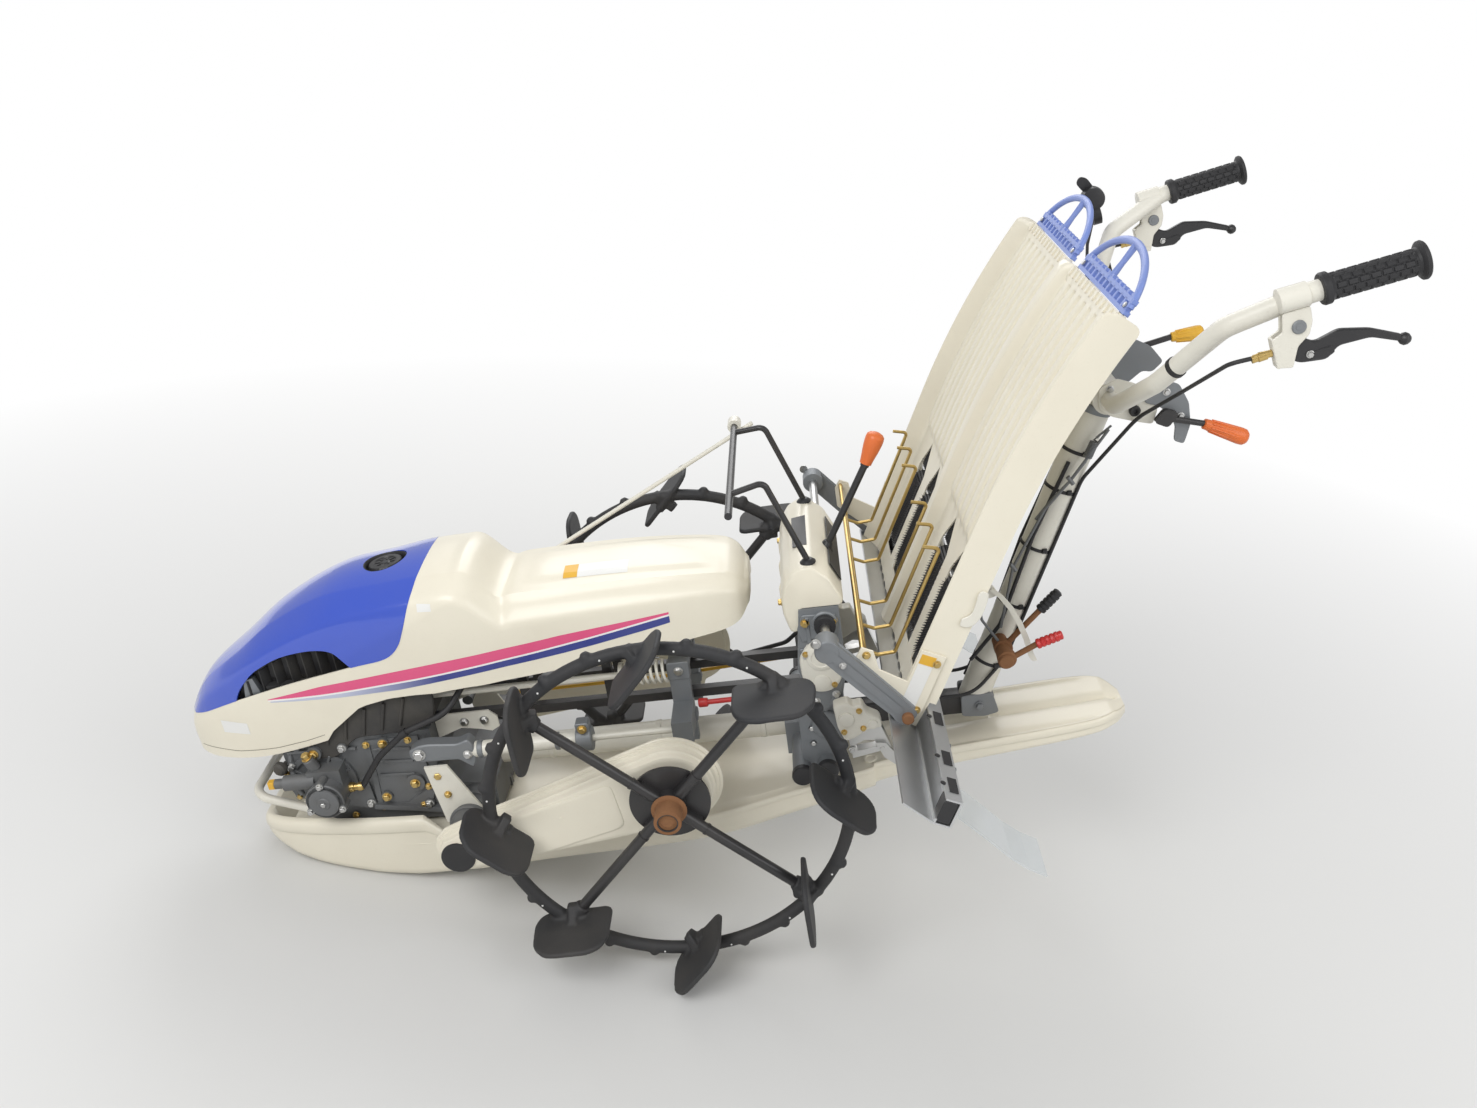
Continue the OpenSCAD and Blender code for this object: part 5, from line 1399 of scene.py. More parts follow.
class TRANSPLANTER_OT_stoppers(bpy.types.Operator):
    """Arched stoppers on the tray's top, with a toothed and pierced base bar"""
    bl_idname = "transplanter.stoppers"
    bl_label = "Stoppers"

    def execute(self, context):
        tip = SLOPE @ Matrix.Translation((-TRAY_BEND_R, 0, TRAY_STRAIGHT)) @ Matrix.Rotation(
            -TRAY_BEND, 4, "Y") @ Matrix.Translation((TRAY_BEND_R, 0, 0.3))
        bm = bmesh.new()
        for lane in (-LANE_C, LANE_C):
            rings = []
            for k in range(41):
                a = math.radians(8 + 164 * k / 40)
                c, s = math.cos(a), math.sin(a)
                p = Vector((-1, lane + ARCH_HW * c, ARCH_HIGH * s))
                out = Vector((0, c * ARCH_HIGH, s * ARCH_HW)).normalized()
                rings.append([tip @ (p + Vector((5 * math.cos(b), 0, 0)) + out * (6.5 * math.sin(b))) for b in
                              (2 * math.pi * j / 14 for j in range(14))])
            add_rings(bm, rings)
            add_tube(bm, [tip @ Vector((-1, lane, z)) for z in (20, 50, 80)], 5, 12, radii=[6, 4.6, 5.5])
            for z0, z1, t in ((0.2, 7, 5), (18.5, 26, 4.4)):
                add_box(bm, (-1 - t, lane - 147, z0), (-1 + t, lane + 147, z1), bevel=1.6, to=tip)
            for k in range(13):
                y = lane - 138 + 23 * k
                add_box(bm, (-5, y - 4, 5), (3.4, y + 4, 21), bevel=1.0, to=tip)
                if k < 12:
                    add_box(bm, (-5, y + 7, 25), (3, y + 16, 31), bevel=1.0, to=tip)
        obj_from(bm, "stopper_arches", "pale_blue_plastic", TRAY, 35, nodes=("mat_stoppers",))
        bm = bmesh.new()
        for lane in (-LANE_C, LANE_C):
            for y in (-132, 132):
                add_lathe(bm, [(0, 4.6), (1.6, 4.4), (2.6, 3.2), (2.8, 0.5)],
                          tip @ Vector((3.9, lane + y, 12)), tip.to_3x3() @ Vector((1, 0, 0)), 16)
        obj_from(bm, "stopper_pins", "bright_steel", TRAY, 30)
        return {"FINISHED"}


def helix(p, q, radius, turns):
    """Points of a coil between two points, in the machine's frame."""
    u, v = basis(q - p)
    steps = 14
    n = turns * steps
    out = []
    for k in range(n + 1):
        a = 2 * math.pi * k / steps
        out.append(p + (q - p) * (k / n) + (u * math.cos(a) + v * math.sin(a)) * radius)
    return out


def add_spring(bm, p, q, radius, wire, turns):
    """A close coil with straight hooks at both ends."""
    p, q = Vector(p), Vector(q)
    d = (q - p).normalized()
    coil = helix(p + d * radius, q - d * radius, radius, turns)
    add_tube(bm, [p] + coil + [q], wire, 8)


def add_plate(bm, outline, y0, y1, bevel=1.0, mat=0, round_r=3.0, to=None):
    """A rounded plate whose edges are eased."""
    add_prism(bm, rounded(outline, round_r, 3), y0, y1, mat=mat, bevel=bevel, to=to)


class TRANSPLANTER_OT_gearbox_trim(bpy.types.Operator):
    """Bolts, ribs, flange and fittings of the gearbox and of its valve"""
    bl_idname = "transplanter.gearbox_trim"
    bl_label = "Gearbox trim"

    def execute(self, context):
        boss_x, boss_z = ROUND_BOSS
        pivot_x, pivot_z = PIVOT
        bm = bmesh.new()
        flange = [(704, 46), (701, -22), (680, -88), (642, -109), (440, -127), (336, -129), (336, -112),
                  (440, -110), (636, -92), (666, -74), (688, -18), (691, 46)]
        add_prism(bm, flange, -6, 6, bevel=1.2)
        for side in (1, -1):
            for a in (35, 75, 115, 155):
                t = math.radians(a)
                d = Vector((math.cos(t), math.sin(t)))
                n = Vector((-d.y, d.x)) * 2.2
                p, q = FRONT_HOUSING + d * 34, FRONT_HOUSING + d * 60
                add_prism(bm, [tuple(v) for v in (p - n, q - n, q + n, p + n)],
                          *between(side, 94, 105), bevel=0.8)
            for x0, z0, x1, z1 in ((470, -100, 540, -93), (400, -108, 452, -103), (566, 40, 690, 44),
                                   (470, 30, 536, 34), (470, 4, 536, 8), (474, -24, 536, -20)):
                add_prism(bm, [(x0, z0), (x1, z1), (x1, z1 + 5), (x0, z0 + 5)], *between(side, 94, 101.5),
                          bevel=1.0)
            for z in (-60, -90, -115):
                lathe_out(bm, [(0, 35.5), (4, 35.5), (5, 34), (5, 31)],
                          (pivot_x, 120 + (z + 115) * 0.8, pivot_z), side, 40)
            lathe_out(bm, [(0, 13), (6, 13), (8, 11), (8, 8)], (414, 142, 4), side, 28)
        add_lathe(bm, [(0, 33.2), (3, 34), (9, 34), (11, 32.6), (11, 27)], (boss_x, 149, boss_z),
                  (0, 1, 0), 40)
        add_lathe(bm, [(0, 27), (2.6, 26), (3.6, 22), (3.4, 12), (5, 10.5), (5.4, 4), (5.4, 0.5)],
                  (boss_x, 162.6, boss_z), (0, 1, 0), 40)
        for x, z in ROUND_BOSS_BOLTS:
            add_lathe(bm, [(-24, 7), (0, 7), (1, 6)], (x, 160, z), (0, 1, 0), 20)
        add_lathe(bm, [(0, 11), (22, 10), (24, 8)], (640, 118, 22), (0.25, 0.2, 1), 24)
        add_tube(bm, [(676, 118, -30), (684, 112, -8), (690, 100, 18), (688, 92, 40)], 5, 12)
        obj_from(bm, "gearbox_castings", "grey_casting", "machine", 30)
        bm = bmesh.new()
        for x, z, r, reach in GEARBOX_BOSSES:
            add_bolt(bm, (x, 95 + reach, z), (0, 1, 0), min(12, r * 1.15), 6, mat=1 if r < 9.5 else 0)
            add_bolt(bm, (x - 3, -95, z), (0, -1, 0), 10, 5)
        bolt_row(bm, ((546, 48), (470, 50), (455, -50), (472, -88), (545, -84), (690, -44), (656, -78),
                      (600, -96), (700, 4)), 100, 1, 9, 5)
        bolt_row(bm, ROUND_BOSS_BOLTS, 160.8, 1, 8.5, 5, 1)
        bolt_row(bm, ((700, 30), (699, -8), (690, -50), (662, -90), (604, -105), (520, -114),
                      (400, -122)), 8, 1, 9, 5)
        add_bolt(bm, (646, 122, 46), (0.25, 0.2, 1), 13, 9)
        add_bolt(bm, (589.5, 116, -26), (-1, 0, 0), 15, 8, washer=False)
        add_box(bm, (714.5, 119, -5), (726, 133, 9), bevel=1.4, mat=2)
        add_bolt(bm, (boss_x, 168, boss_z), (0, 1, 0), 8, 3, washer=False, mat=1)
        for side in (1, -1):
            for k in range(5):
                t = math.radians(20 + 72 * k)
                add_bolt(bm, (pivot_x + 28 * math.cos(t), side * 216.2, pivot_z + 28 * math.sin(t)),
                         (0, -side, 0), 7, 3, washer=False, mat=1)
        obj_from(bm, "gearbox_bolts", ["gold_steel", "bright_steel", "yellow_plastic"], "machine", 30)
        bm = bmesh.new()
        add_lathe(bm, [(0, 5), (10, 5), (11, 10), (14, 12.5), (22, 12.5), (26, 9), (27, 1)], (700, 92, 22),
                  (0.3, 0.95, 0), 28)
        for k in range(7):
            x = 446 + 22 * k
            add_prism(bm, [(x, 74), (x + 5, 74), (x + 5, 126), (x, 126)], -66, 66, bevel=1.2)
        for k in range(9):
            z = 150 + 9 * k
            add_box(bm, (444, -64, z), (636, 64, z + 3), bevel=1.0)
        obj_from(bm, "engine_fins", "dark_casting", "machine", 30)
        bm = bmesh.new()
        rim = [(x + r * math.cos(math.radians(a)), z + r * math.sin(math.radians(a)))
               for x, z, r, start, end in ((532, 112, 42, 60, 251), (628, 104, 30, -80, 71))
               for a in range(start, end, 10)]
        add_rings(bm, [scaled(rim, (580, 108), y, k) for y, k in
                       ((92.8, 1), (95.2, 0.985), (96.4, 0.95), (96.6, 0.86), (94.6, 0.82), (94.4, 0.4))])
        bolt_row(bm, ((506, 132), (506, 92), (640, 84), (636, 128)), 95.6, 1, 8, 4)
        obj_from(bm, "belt_cover_face", "black_plastic", "machine", 30)
        return {"FINISHED"}


class TRANSPLANTER_OT_frame_trim(bpy.types.Operator):
    """Clamps, springs, rods, straps and bolts along the frame"""
    bl_idname = "transplanter.frame_trim"
    bl_label = "Frame trim"

    def execute(self, context):
        bm = bmesh.new()
        for x0, x1, r in ((139, 166, 22), (196, 204, 15.6), (330, 340, 15.6)):
            add_lathe(bm, [(0, r - 1.5), (1.5, r), (x1 - x0 - 1.5, r), (x1 - x0, r - 1.5)], (x0, 130, 36),
                      (1, 0, 0), 36)
        add_prism(bm, rounded([(141, 52), (164, 52), (164, 72), (141, 72)], 4), 118, 142, bevel=1.4)
        for side in (1, -1):
            add_prism(bm, rounded([(-37, 100), (2, 100), (2, 134), (-37, 134)], 5), *between(side, 57, 76),
                      bevel=1.4)
            add_prism(bm, rounded([(-39, 14), (4, 14), (4, 34), (-39, 34)], 5), *between(side, 57, 78),
                      bevel=1.4)
        add_prism(bm, rounded([(440, 60), (424, 62), (372, 57), (352, 64), (344, 52), (344, 20), (352, 8),
                               (374, 26), (440, 27), (457, 36), (457, 52)], 5), 116.5, 143.5, bevel=2.2)
        obj_from(bm, "frame_castings", "grey_paint", "machine", 32, nodes=("lift_arm",))
        bm = bmesh.new()
        usual = context.scene.transplanter_sizes.bolt_head
        add_bolt(bm, (440, 143.4, 44), (0, 1, 0), 15, 8)
        add_bolt(bm, (152, 142.4, 62), (0, 1, 0), usual, 6, mat=1)
        add_bolt(bm, (356, 143.4, 36), (0, 1, 0), usual, 6)
        for side in (1, -1):
            bolt_out(bm, (-18, 78.6, 24), side, usual, 6, mat=1)
            bolt_out(bm, (-18, 76.6, 118), side, usual, 6)
            bolt_row(bm, ((340, 52), (376, 52)), 62.6, side, usual, 6)
            bolt_out(bm, (414, 150.6, 4), side, 12, 6, mat=1)
            bolt_out(bm, (404, 155.4, -34), side, 9, 5, mat=1)
            bolt_out(bm, (600, 58.4, 60), side, 9, 5)
        obj_from(bm, "frame_bolts", ["bright_steel", "gold_steel"], "machine", 30)
        bm = bmesh.new()
        add_spring(bm, (257, 62, 147), (122, 62, 153), 8, 1.1, 34)
        add_tube(bm, [(122, 62, 153), (60, 62, 150), (12, 64, 141)], 2, 8)
        add_tube(bm, [(257, 62, 147), (300, 60, 146), (342, 58, 118)], 2, 8)
        obj_from(bm, "fine_spring", "bright_steel", "machine", 40)
        bm = bmesh.new()
        for side in (1, -1):
            for x, z in ((-212, -58), (-256, -52)):
                lathe_out(bm, [(0, 15), (0.6, 18.2), (10, 18.6), (12.6, 17), (13.4, 12), (13.4, 0.5)],
                          (x, 159.6, z), side, 32)
        add_tube(bm, smooth_path([(120, -96, 26), (-60, -96, 30), (-200, -90, 60), (-232, -84, 90)], 30), 4,
                 10)
        obj_from(bm, "tube_caps", "black_plastic", "machine", 30)
        bm = bmesh.new()
        add_tube(bm, [(-232, 100, 68), (-170, 100, 66), (-60, 92, 60)], 4.5, 12)
        add_lathe(bm, [(0, 7), (2, 8), (14, 8), (16, 7)], (-62, 92, 60), (1, -0.07, -0.05), 20)
        obj_from(bm, "red_rod", "red_plastic", "machine", 30)
        bm = bmesh.new()
        add_tube(bm, [(-190, -70, 40), (40, -74, 24), (330, -78, 20)], 3.4, 10)
        obj_from(bm, "yellow_rod", "yellow_plastic", "machine", 30)
        bm = bmesh.new()
        for x in (-150, 40, 240):
            add_lathe(bm, [(0, 24.2), (1, 25.4), (9, 25.4), (10, 24.2)], (x, 0, -52), (1, 0, 0), 40)
        obj_from(bm, "tube_collars", "cream_paint", "machine", 30)
        return {"FINISHED"}


SHIFT_FOOT = Vector((-281, 24, 274))


class TRANSPLANTER_OT_planting(bpy.types.Operator):
    """Planting unit: domed cover with a bare panel, castings, covers, arms, boots and bolts"""
    bl_idname = "transplanter.planting"
    bl_label = "Planting unit"

    def execute(self, context):
        side_view = rounded([(-221, 205), (-212, 240), (-212, 268), (-219, 292), (-232, 312), (-250, 322),
                             (-268, 322), (-294, 300), (-312, 262), (-312, 249.4), (-238, 249.4),
                             (-232, 205)], 5, 2)
        bm = bmesh.new()
        stations = [(-146, 0.9), (-144, 0.955), (-139, 0.985), (-128, 1.0), (-60, 1.0), (60, 1.0), (128, 1.0),
                    (139, 0.985), (144, 0.955), (146, 0.9)]
        rings = []
        for y, k in stations:
            ring = scaled(side_view, (-262, 258), y, k)
            for p, (_, z) in zip(ring, side_view):
                if z < 251:
                    p.z = max(p.z, z)
            rings.append(ring)
        add_rings(bm, rings)
        for y in (-86, 0, 86):
            add_prism(bm, rounded([(-218, 226), (-209, 240), (-209, 262), (-218, 282)], 4), y - 3,
                      y + 3, bevel=1)
        obj_from(bm, "unit_cover_dome", "cream_plastic", "machine", 34, nodes=("unit_cover",))
        bm = bmesh.new()
        a, b = Vector((-296, 300.5)), Vector((-311.6, 268))
        n = Vector((-(b - a).y, (b - a).x)).normalized()
        n = n if n.x < 0 else -n
        slope = [a + n * -0.6, b + n * -0.6, b + n * 1.2, a + n * 1.2]
        add_prism(bm, [(p.x, p.y) for p in slope], -96, 96, bevel=0.5)
        add_prism(bm, [(-262, 322.2), (-238, 318.4), (-238, 319.6), (-262, 323.2)], -60, 60, bevel=0.3)
        for side in (1, -1):
            add_lathe(bm, [(-1, 13), (1.2, 13), (3.4, 10.5), (6, 7.5), (6.4, 5.6)], (-262, side * 125, 321.6),
                      (0.06, 0, 1), 28)
        lean = Vector((-0.48, -0.106, 0.87))
        add_lathe(bm, [(-2, 15), (2, 14.4), (8, 10), (14, 8), (15, 6.4)], SHIFT_FOOT + lean * 22, lean, 28)
        obj_from(bm, "cover_panel_and_grommets", "black_plastic", "machine", 30)
        bm = bmesh.new()
        for side in (1, -1):
            s0, s1 = between(side, 149, 153)
            add_plate(bm, [(-242, 240), (-296, 238), (-300, 212), (-292, 190), (-262, 197), (-238, 190),
                           (-232, 214)], s0, s1, 1.2)
            add_plate(bm, [(-238, 130), (-232, 178), (-300, 178), (-302, 132), (-290, 76), (-264, 58),
                           (-242, 68)], s0, s1, 1.2)
            s0, s1 = between(side, 110, 154.6)
            for x in (-250, -284):
                add_plate(bm, [(x - 4, 150), (x + 4, 150), (x + 3, 236), (x - 3, 236)], s0, s1, 1.0)
            lathe_out(bm, [(0, 21), (7, 21), (9, 19), (9, 9)], (-278, 149, 224), side, 32)
            lathe_out(bm, [(-44, 26), (0, 26), (3, 24), (3.6, 20)], (-262, 146, 26), side, 32)
            lathe_out(bm, [(-8, 7), (0, 7), (1, 10.5), (7.4, 10.5), (8.4, 7), (12.4, 7)], (-284, 148, 74),
                      side, 28)
        obj_from(bm, "unit_castings", "grey_paint", "machine", 32)
        bm = bmesh.new()
        drop = [(-229, 164), (-249, 190), (-268, 197), (-290, 184), (-300, 141), (-294, 112), (-276, 96),
                (-249, 97), (-232, 120)]
        drop = rounded(drop, 14, 4)
        for side in (1, -1):
            add_rings(bm, [scaled(drop, (-264, 148), side * (150.2 + h), k)
                           for h, k in ((0, 1.0), (5.6, 1.0), (8, 0.97), (9, 0.92), (9.2, 0.8))])
            lathe_out(bm, [(8, 25), (10.6, 24), (12, 21), (12.4, 17), (11, 15.6), (10.8, 0.5)],
                      (-266, 150, 163), side, 40)
            lathe_out(bm, [(8, 15), (10.4, 14.4), (11.4, 12), (11.4, 0.5)], (-263, 150, 116), side, 32)
        obj_from(bm, "unit_drop_covers", "cream_paint", "machine", 32, nodes=("case_covers",))
        bm = bmesh.new()
        arm = rounded([(-276, 82), (-300, 88), (-309, 79), (-324, 82), (-331, 64), (-351, 52), (-354, 34),
                       (-328, 30), (-307, 17), (-290, 12), (-280, 40)], 5, 3)
        for side in (1, -1):
            add_rings(bm, [scaled(arm, (-312, 52), side * h, k)
                           for h, k in ((159.4, 0.93), (160.6, 0.985), (163, 1), (179.6, 1), (182.4, 0.975),
                                        (184, 0.9), (184.2, 0.7))])
            lathe_out(bm, [(0, 13), (3, 12.4), (4.4, 10), (4.6, 0.5)], (-296, 184, 56), side, 32)
            lathe_out(bm, [(0, 9), (2.2, 8.4), (3, 6.6), (3, 0.5)], (-338, 184, 42), side, 28)
        obj_from(bm, "planting_arm_covers", "cream_paint", "machine", 32, nodes=("planting_arms",))
        bm = bmesh.new()
        prof = [(0.4, 17)]
        for k in range(4):
            prof += [(1 + 3.2 * k, 17.4), (2.2 + 3.2 * k, 15.2), (3.2 + 3.2 * k, 15.2)]
        prof += [(13.4, 17), (13.8, 15), (13.8, 8.6)]
        for side in (1, -1):
            lathe_out(bm, prof, (-278, 157.8, 224), side, 32)
        obj_from(bm, "shaft_boot_folds", "black_rubber", "machine", 30)
        bm = bmesh.new()
        for side in (1, -1):
            for y, width, height, mat, places in (
                    (153, 10, 6, 0, ((-292, 226), (-246, 226))),
                    (153, 9, 5, 1, ((-292, 166), (-240, 166), (-284, 88), (-250, 78))),
                    (159, 7, 4, 0, ((-241, 172), (-284, 178), (-283, 110), (-242, 112))),
                    (184, 7, 4, 0, ((-318, 70), (-290, 32), (-322, 36))),
                    (181, 8, 5, 1, ((-350, -6), (-300, -6))),
                    (142.4, 8, 4, 1, ((-236, -10), (-236, 20), (-236, 50)))):
                bolt_row(bm, places, y, side, width, height, mat)
        for y in (-120, 120):
            add_bolt(bm, (-212.4, y, 252), (1, 0, 0), 9, 5)
        obj_from(bm, "unit_bolts", ["gold_steel", "bright_steel"], "machine", 30)
        bm = bmesh.new()
        for side in (1, -1):
            y0, y1 = (y + TRAY_SHIFT for y in between(side, 350.2, 365.2))
            add_lathe(bm, [(-20, 17), (-19, 20), (14, 20), (16.4, 18), (16.4, 8.4)],
                      (-278, side * 349.9 + TRAY_SHIFT, 224), (0, side, 0), 36)
            arm = rounded([(-286, 242), (-262, 222), (-322, 152), (-372, 98), (-376, 84), (-392, 80),
                           (-408, 98), (-400, 108), (-336, 184)], 8, 4)
            add_prism(bm, arm, y0, y1, bevel=2.2)
            rib = rounded([(-284, 228), (-274, 222), (-378, 102), (-388, 108)], 3, 2)
            add_prism(bm, rib, *(y + TRAY_SHIFT for y in between(side, 354.2, 367)), bevel=1.0)
        obj_from(bm, "feed_arm_castings", "grey_paint", TRAY, 32, nodes=("feed_arms",))
        bm = bmesh.new()
        for side in (1, -1):
            y = side * 366.6 + TRAY_SHIFT
            add_bolt(bm, (-262, y - side * 1.2, 242), (0, side, 0), 11, 6)
            add_lathe(bm, [(-3, 9.5), (6, 9.5), (8, 7.5), (8, 0.5)], (-393, y, 93), (0, side, 0), 24, mat=1)
            add_bolt(bm, (-300, y + side * 0.4, 200), (0, side, 0), 8, 4)
        obj_from(bm, "feed_arm_bolts", ["bright_steel", "rusty_steel"], TRAY, 30)
        bm = bmesh.new()
        foot, top = SHIFT_FOOT, Vector((-372, 4, 430))
        u = (top - foot).normalized()
        add_tube(bm, [foot, foot + u * 30, top], 6, 16)
        add_lathe(bm, [(-4, 7.4), (2, 7.8), (4, 7.6)], top, u, 20)
        obj_from(bm, "shift_lever_rod", "black_steel", "machine", 30, nodes=("shift_lever",))
        bm = bmesh.new()
        end = Vector((-396, 0, 481))
        length = (end - top).length
        prof = [(0, 7), (1, 10)] + [(length * t, 10 + 5.6 * math.sin(min(1, t * 1.25) * math.pi / 2) ** 1.5)
                                    for t in (0.1, 0.25, 0.4, 0.55, 0.7, 0.8)]
        prof += [(length * 0.9, 14.8), (length * 0.96, 11.6), (length, 6), (length + 0.6, 0.5)]
        add_lathe(bm, prof, top, end - top, 32)
        obj_from(bm, "shift_lever_knob", "orange_plastic", "machine", 40)
        return {"FINISHED"}


# Handlebar's bends on the left, the grip's direction and frames, the handle head and the column
BAR = [(-736.6, 84, 510.7), (-786, 220, 588), (-850, 312, 688), (-945, 350, 733), (-1081, 350, 757.5)]
GRIP_DIR = (Vector(BAR[4]) - Vector(BAR[3])).normalized()
ON_GRIP = Matrix.Translation(BAR[4]) @ Matrix.Rotation(math.pi + math.atan2(GRIP_DIR.z, -GRIP_DIR.x), 4, "Y")
GRIPS = {1: ON_GRIP, -1: Matrix.Scale(-1, 4, (0, 1, 0)) @ ON_GRIP}
COLUMN_FOOT, COLUMN_TOP = Vector((-529, 0, -28)), Vector((-748, 0, 484))
COLUMN_DIR = (COLUMN_TOP - COLUMN_FOOT).normalized()
HEAD = (-759.4, 510.7)


class TRANSPLANTER_OT_handles(bpy.types.Operator):
    """Grips with a brick pattern, clutch levers, brackets with grey pivots, throttle and knobs"""
    bl_idname = "transplanter.handles"
    bl_label = "Handles"

    def execute(self, context):
        blocks = context.scene.transplanter_sizes.grip_blocks
        rows, around = 96, 60
        bm = bmesh.new()
        for to in GRIPS.values():
            rings = []
            for i in range(rows + 1):
                x = -118 + 112 * i / rows
                ring = []
                for k in range(around):
                    a = 2 * math.pi * k / around
                    lane, in_lane = divmod(k / around * blocks, 1)
                    brick = ((x + 118) / 14 + (0.5 if lane % 2 else 0)) % 1
                    r = 17.8 if 0.1 < in_lane < 0.9 and 0.1 < brick < 0.92 else 16.2
                    if x < -112 or x > -10:
                        r = 17.4
                    ring.append(to @ Vector((x, r * math.cos(a), r * math.sin(a))))
                rings.append(ring)
            add_rings(bm, rings)
            axis = to.to_3x3() @ Vector((1, 0, 0))
            base = to.translation
            add_lathe(bm, [(-126, 15.4), (-125.4, 20), (-123, 21.4), (-116, 21.2), (-113, 18.4), (-111, 17)],
                      base, axis, 40)
            add_lathe(bm, [(-9, 17), (-5, 18.6), (-3, 23), (-1.4, 25), (2, 25.4), (4, 24), (4.4, 17),
                           (3.6, 13.4), (3.6, 0.5)], base, axis, 40)
        obj_from(bm, "grip_rubber", "black_rubber", "machine", 30, nodes=("grips",))
        bm = bmesh.new()
        shape = rounded([(-158, 54), (-142, 66), (-110, 58), (-71, 69), (-32, 90), (-36, 98), (-72, 81),
                         (-113, 80), (-129, 94), (-162, 89), (-171, 84), (-168, 62)], 6, 3)
        for to in GRIPS.values():
            add_prism(bm, shape, -4.6, 4.6, bevel=1.8, to=to)
            add_lathe(bm, [(-8.4, 0.5), (-7.4, 4.2), (-4, 7.4), (0, 8.6), (4, 7.4), (7.4, 4.2), (8.4, 0.5)],
                      to @ Vector((-30, 0, 97)), to.to_3x3() @ Vector((1, 0, 0.4)), 24)
            add_prism(bm, rounded([(-150, 78), (-122, 76), (-118, 86), (-132, 92), (-152, 88)], 4, 3), -6.4,
                      6.4, bevel=1.2, to=to)
        obj_from(bm, "clutch_lever_bodies", "black_plastic", "machine", 32, nodes=("clutch_levers",))
        bm = bmesh.new()
        discs = bmesh.new()
        plate = [(-178, 6), (-142, 6), (-142, 36), (-148, 52), (-164, 64), (-174, 91), (-194, 86), (-195, 46),
                 (-181, 40)]
        for to in GRIPS.values():
            turn = to.to_3x3()
            for y0, y1 in ((-8.2, -5), (5, 8.2)):
                add_plate(bm, [(x, max(z, 15)) for x, z in plate], y0, y1, 0.8, to=to)
            add_plate(bm, [(-194, 87), (-196, 46), (-191, 46), (-189, 88)], -8, 8, 0.8, to=to)
            add_lathe(bm, [(-180, 14.3), (-179, 16.4), (-142, 16.4), (-141, 14.3)], to.translation,
                      turn @ Vector((1, 0, 0)), 40)
            for s in (1, -1):
                add_lathe(discs, [(0, 9.4), (1.6, 9.2), (2.6, 8), (2.6, 4.4), (3.2, 4), (3.2, 0.5)],
                          to @ Vector((-160, s * 8.2, 38)), turn @ Vector((0, s, 0)), 32)
                add_bolt(discs, to @ Vector((-150, s * 4.8, 80)), turn @ Vector((0, s, 0)), 7, 3.4, mat=1)
            add_lathe(discs, [(0, 4.2), (6, 4.2), (6.6, 6), (18, 6), (18.6, 5), (26, 5)],
                      to @ Vector((-196, 0, 66)), turn @ Vector((-1, 0, 0.06)), 20, mat=2)
        obj_from(bm, "lever_bracket_folds", "cream_paint", "machine", 32, nodes=("lever_brackets",))
        obj_from(discs, "lever_pivots", ["grey_paint", "bright_steel", "gold_steel"], "machine", 30)
        bm = bmesh.new()
        to = GRIPS[-1]
        turn = to.to_3x3()
        add_lathe(bm, [(-262, 14.3), (-261, 17.4), (-247, 17.4), (-246, 14.3)], to.translation,
                  turn @ Vector((1, 0, 0)), 36)
        add_lathe(bm, [(-13, 16), (-12, 19.6), (0, 20.6), (9, 20), (12, 16.6), (12.4, 9), (15, 8.4),
                       (15.4, 0.5)], to @ Vector((-254, 0, -30)), turn @ Vector((0, 1, 0)), 36)
        add_prism(bm, rounded([(-268, -46), (-276, -62), (-268, -72), (-256, -66), (-246, -44), (-252, -32)],
                              5, 3), 4, 9, bevel=1.2, to=to)
        add_prism(bm, rounded([(-264, -22), (-244, -22), (-242, -12), (-266, -12)], 3, 3), -9, 9,
                  bevel=1.4, to=to)
        obj_from(bm, "throttle_body", "black_plastic", "machine", 32)
        bm = bmesh.new()
        start = to @ Vector((-272, 0, -34))
        add_tube(bm, smooth_path([start, (-826, -334, 722), (-806, -306, 672), (-790, -248, 606),
                                  (-768, -150, 556), (-752, -64, 500), (-742, -46, 460)], 26), 2.8, 10)
        for side in (1, -1):
            a, b = (Vector((x, side * y, z)) for x, y, z in BAR[1:3])
            d = (b - a).normalized()
            add_lathe(bm, [(-4, 14.2), (-3.4, 15.6), (3.4, 15.6), (4, 14.2)], a + d * 46, d, 32)
        obj_from(bm, "throttle_cable", "black_rubber", "machine", 36)
        bm = bmesh.new()
        near = [(-742, 496), (-742, 530), (-770, 544), (-800, 532), (-818, 506), (-834, 488), (-826, 462),
                (-797, 470), (-762, 482)]
        quad = [(-812, 500), (-816, 524), (-842, 534), (-866, 524), (-881, 492), (-884, 456), (-874, 424),
                (-858, 431), (-860, 456), (-850, 478), (-834, 492)]
        far = [(-742, 500), (-742, 536), (-780, 566), (-815, 576), (-850, 556), (-870, 528), (-852, 512),
               (-836, 516), (-815, 500), (-790, 486), (-760, 484)]
        add_plate(bm, near, 50.3, 54, 0.8, 0, 6)
        add_plate(bm, quad, 53.2, 57, 0.8, 1, 5)
        add_plate(bm, far, -54, -50.3, 0.8, 1, 6)
        for y0, y1 in ((44, 50.2), (-50.2, -44)):
            add_plate(bm, [(-748, 492), (-742, 520), (-770, 532), (-786, 508), (-772, 488)], y0,
                      y1, 0.8, 1, 6)
        obj_from(bm, "control_plate_sheets", ["cream_paint", "grey_paint"], "machine", 32,
                 nodes=("control_plates",))
        bm = bmesh.new()
        add_lathe(bm, [(0, 9), (5, 9), (7, 7), (7, 4), (4, 3.6), (4, 0.5)], (-797, 54, 489),
                  (0, 1, 0), 28, mat=1)
        bolt_row(bm, ((-760, 500), (-760, 528), (-808, 520)), 54, 1, 8, 4)
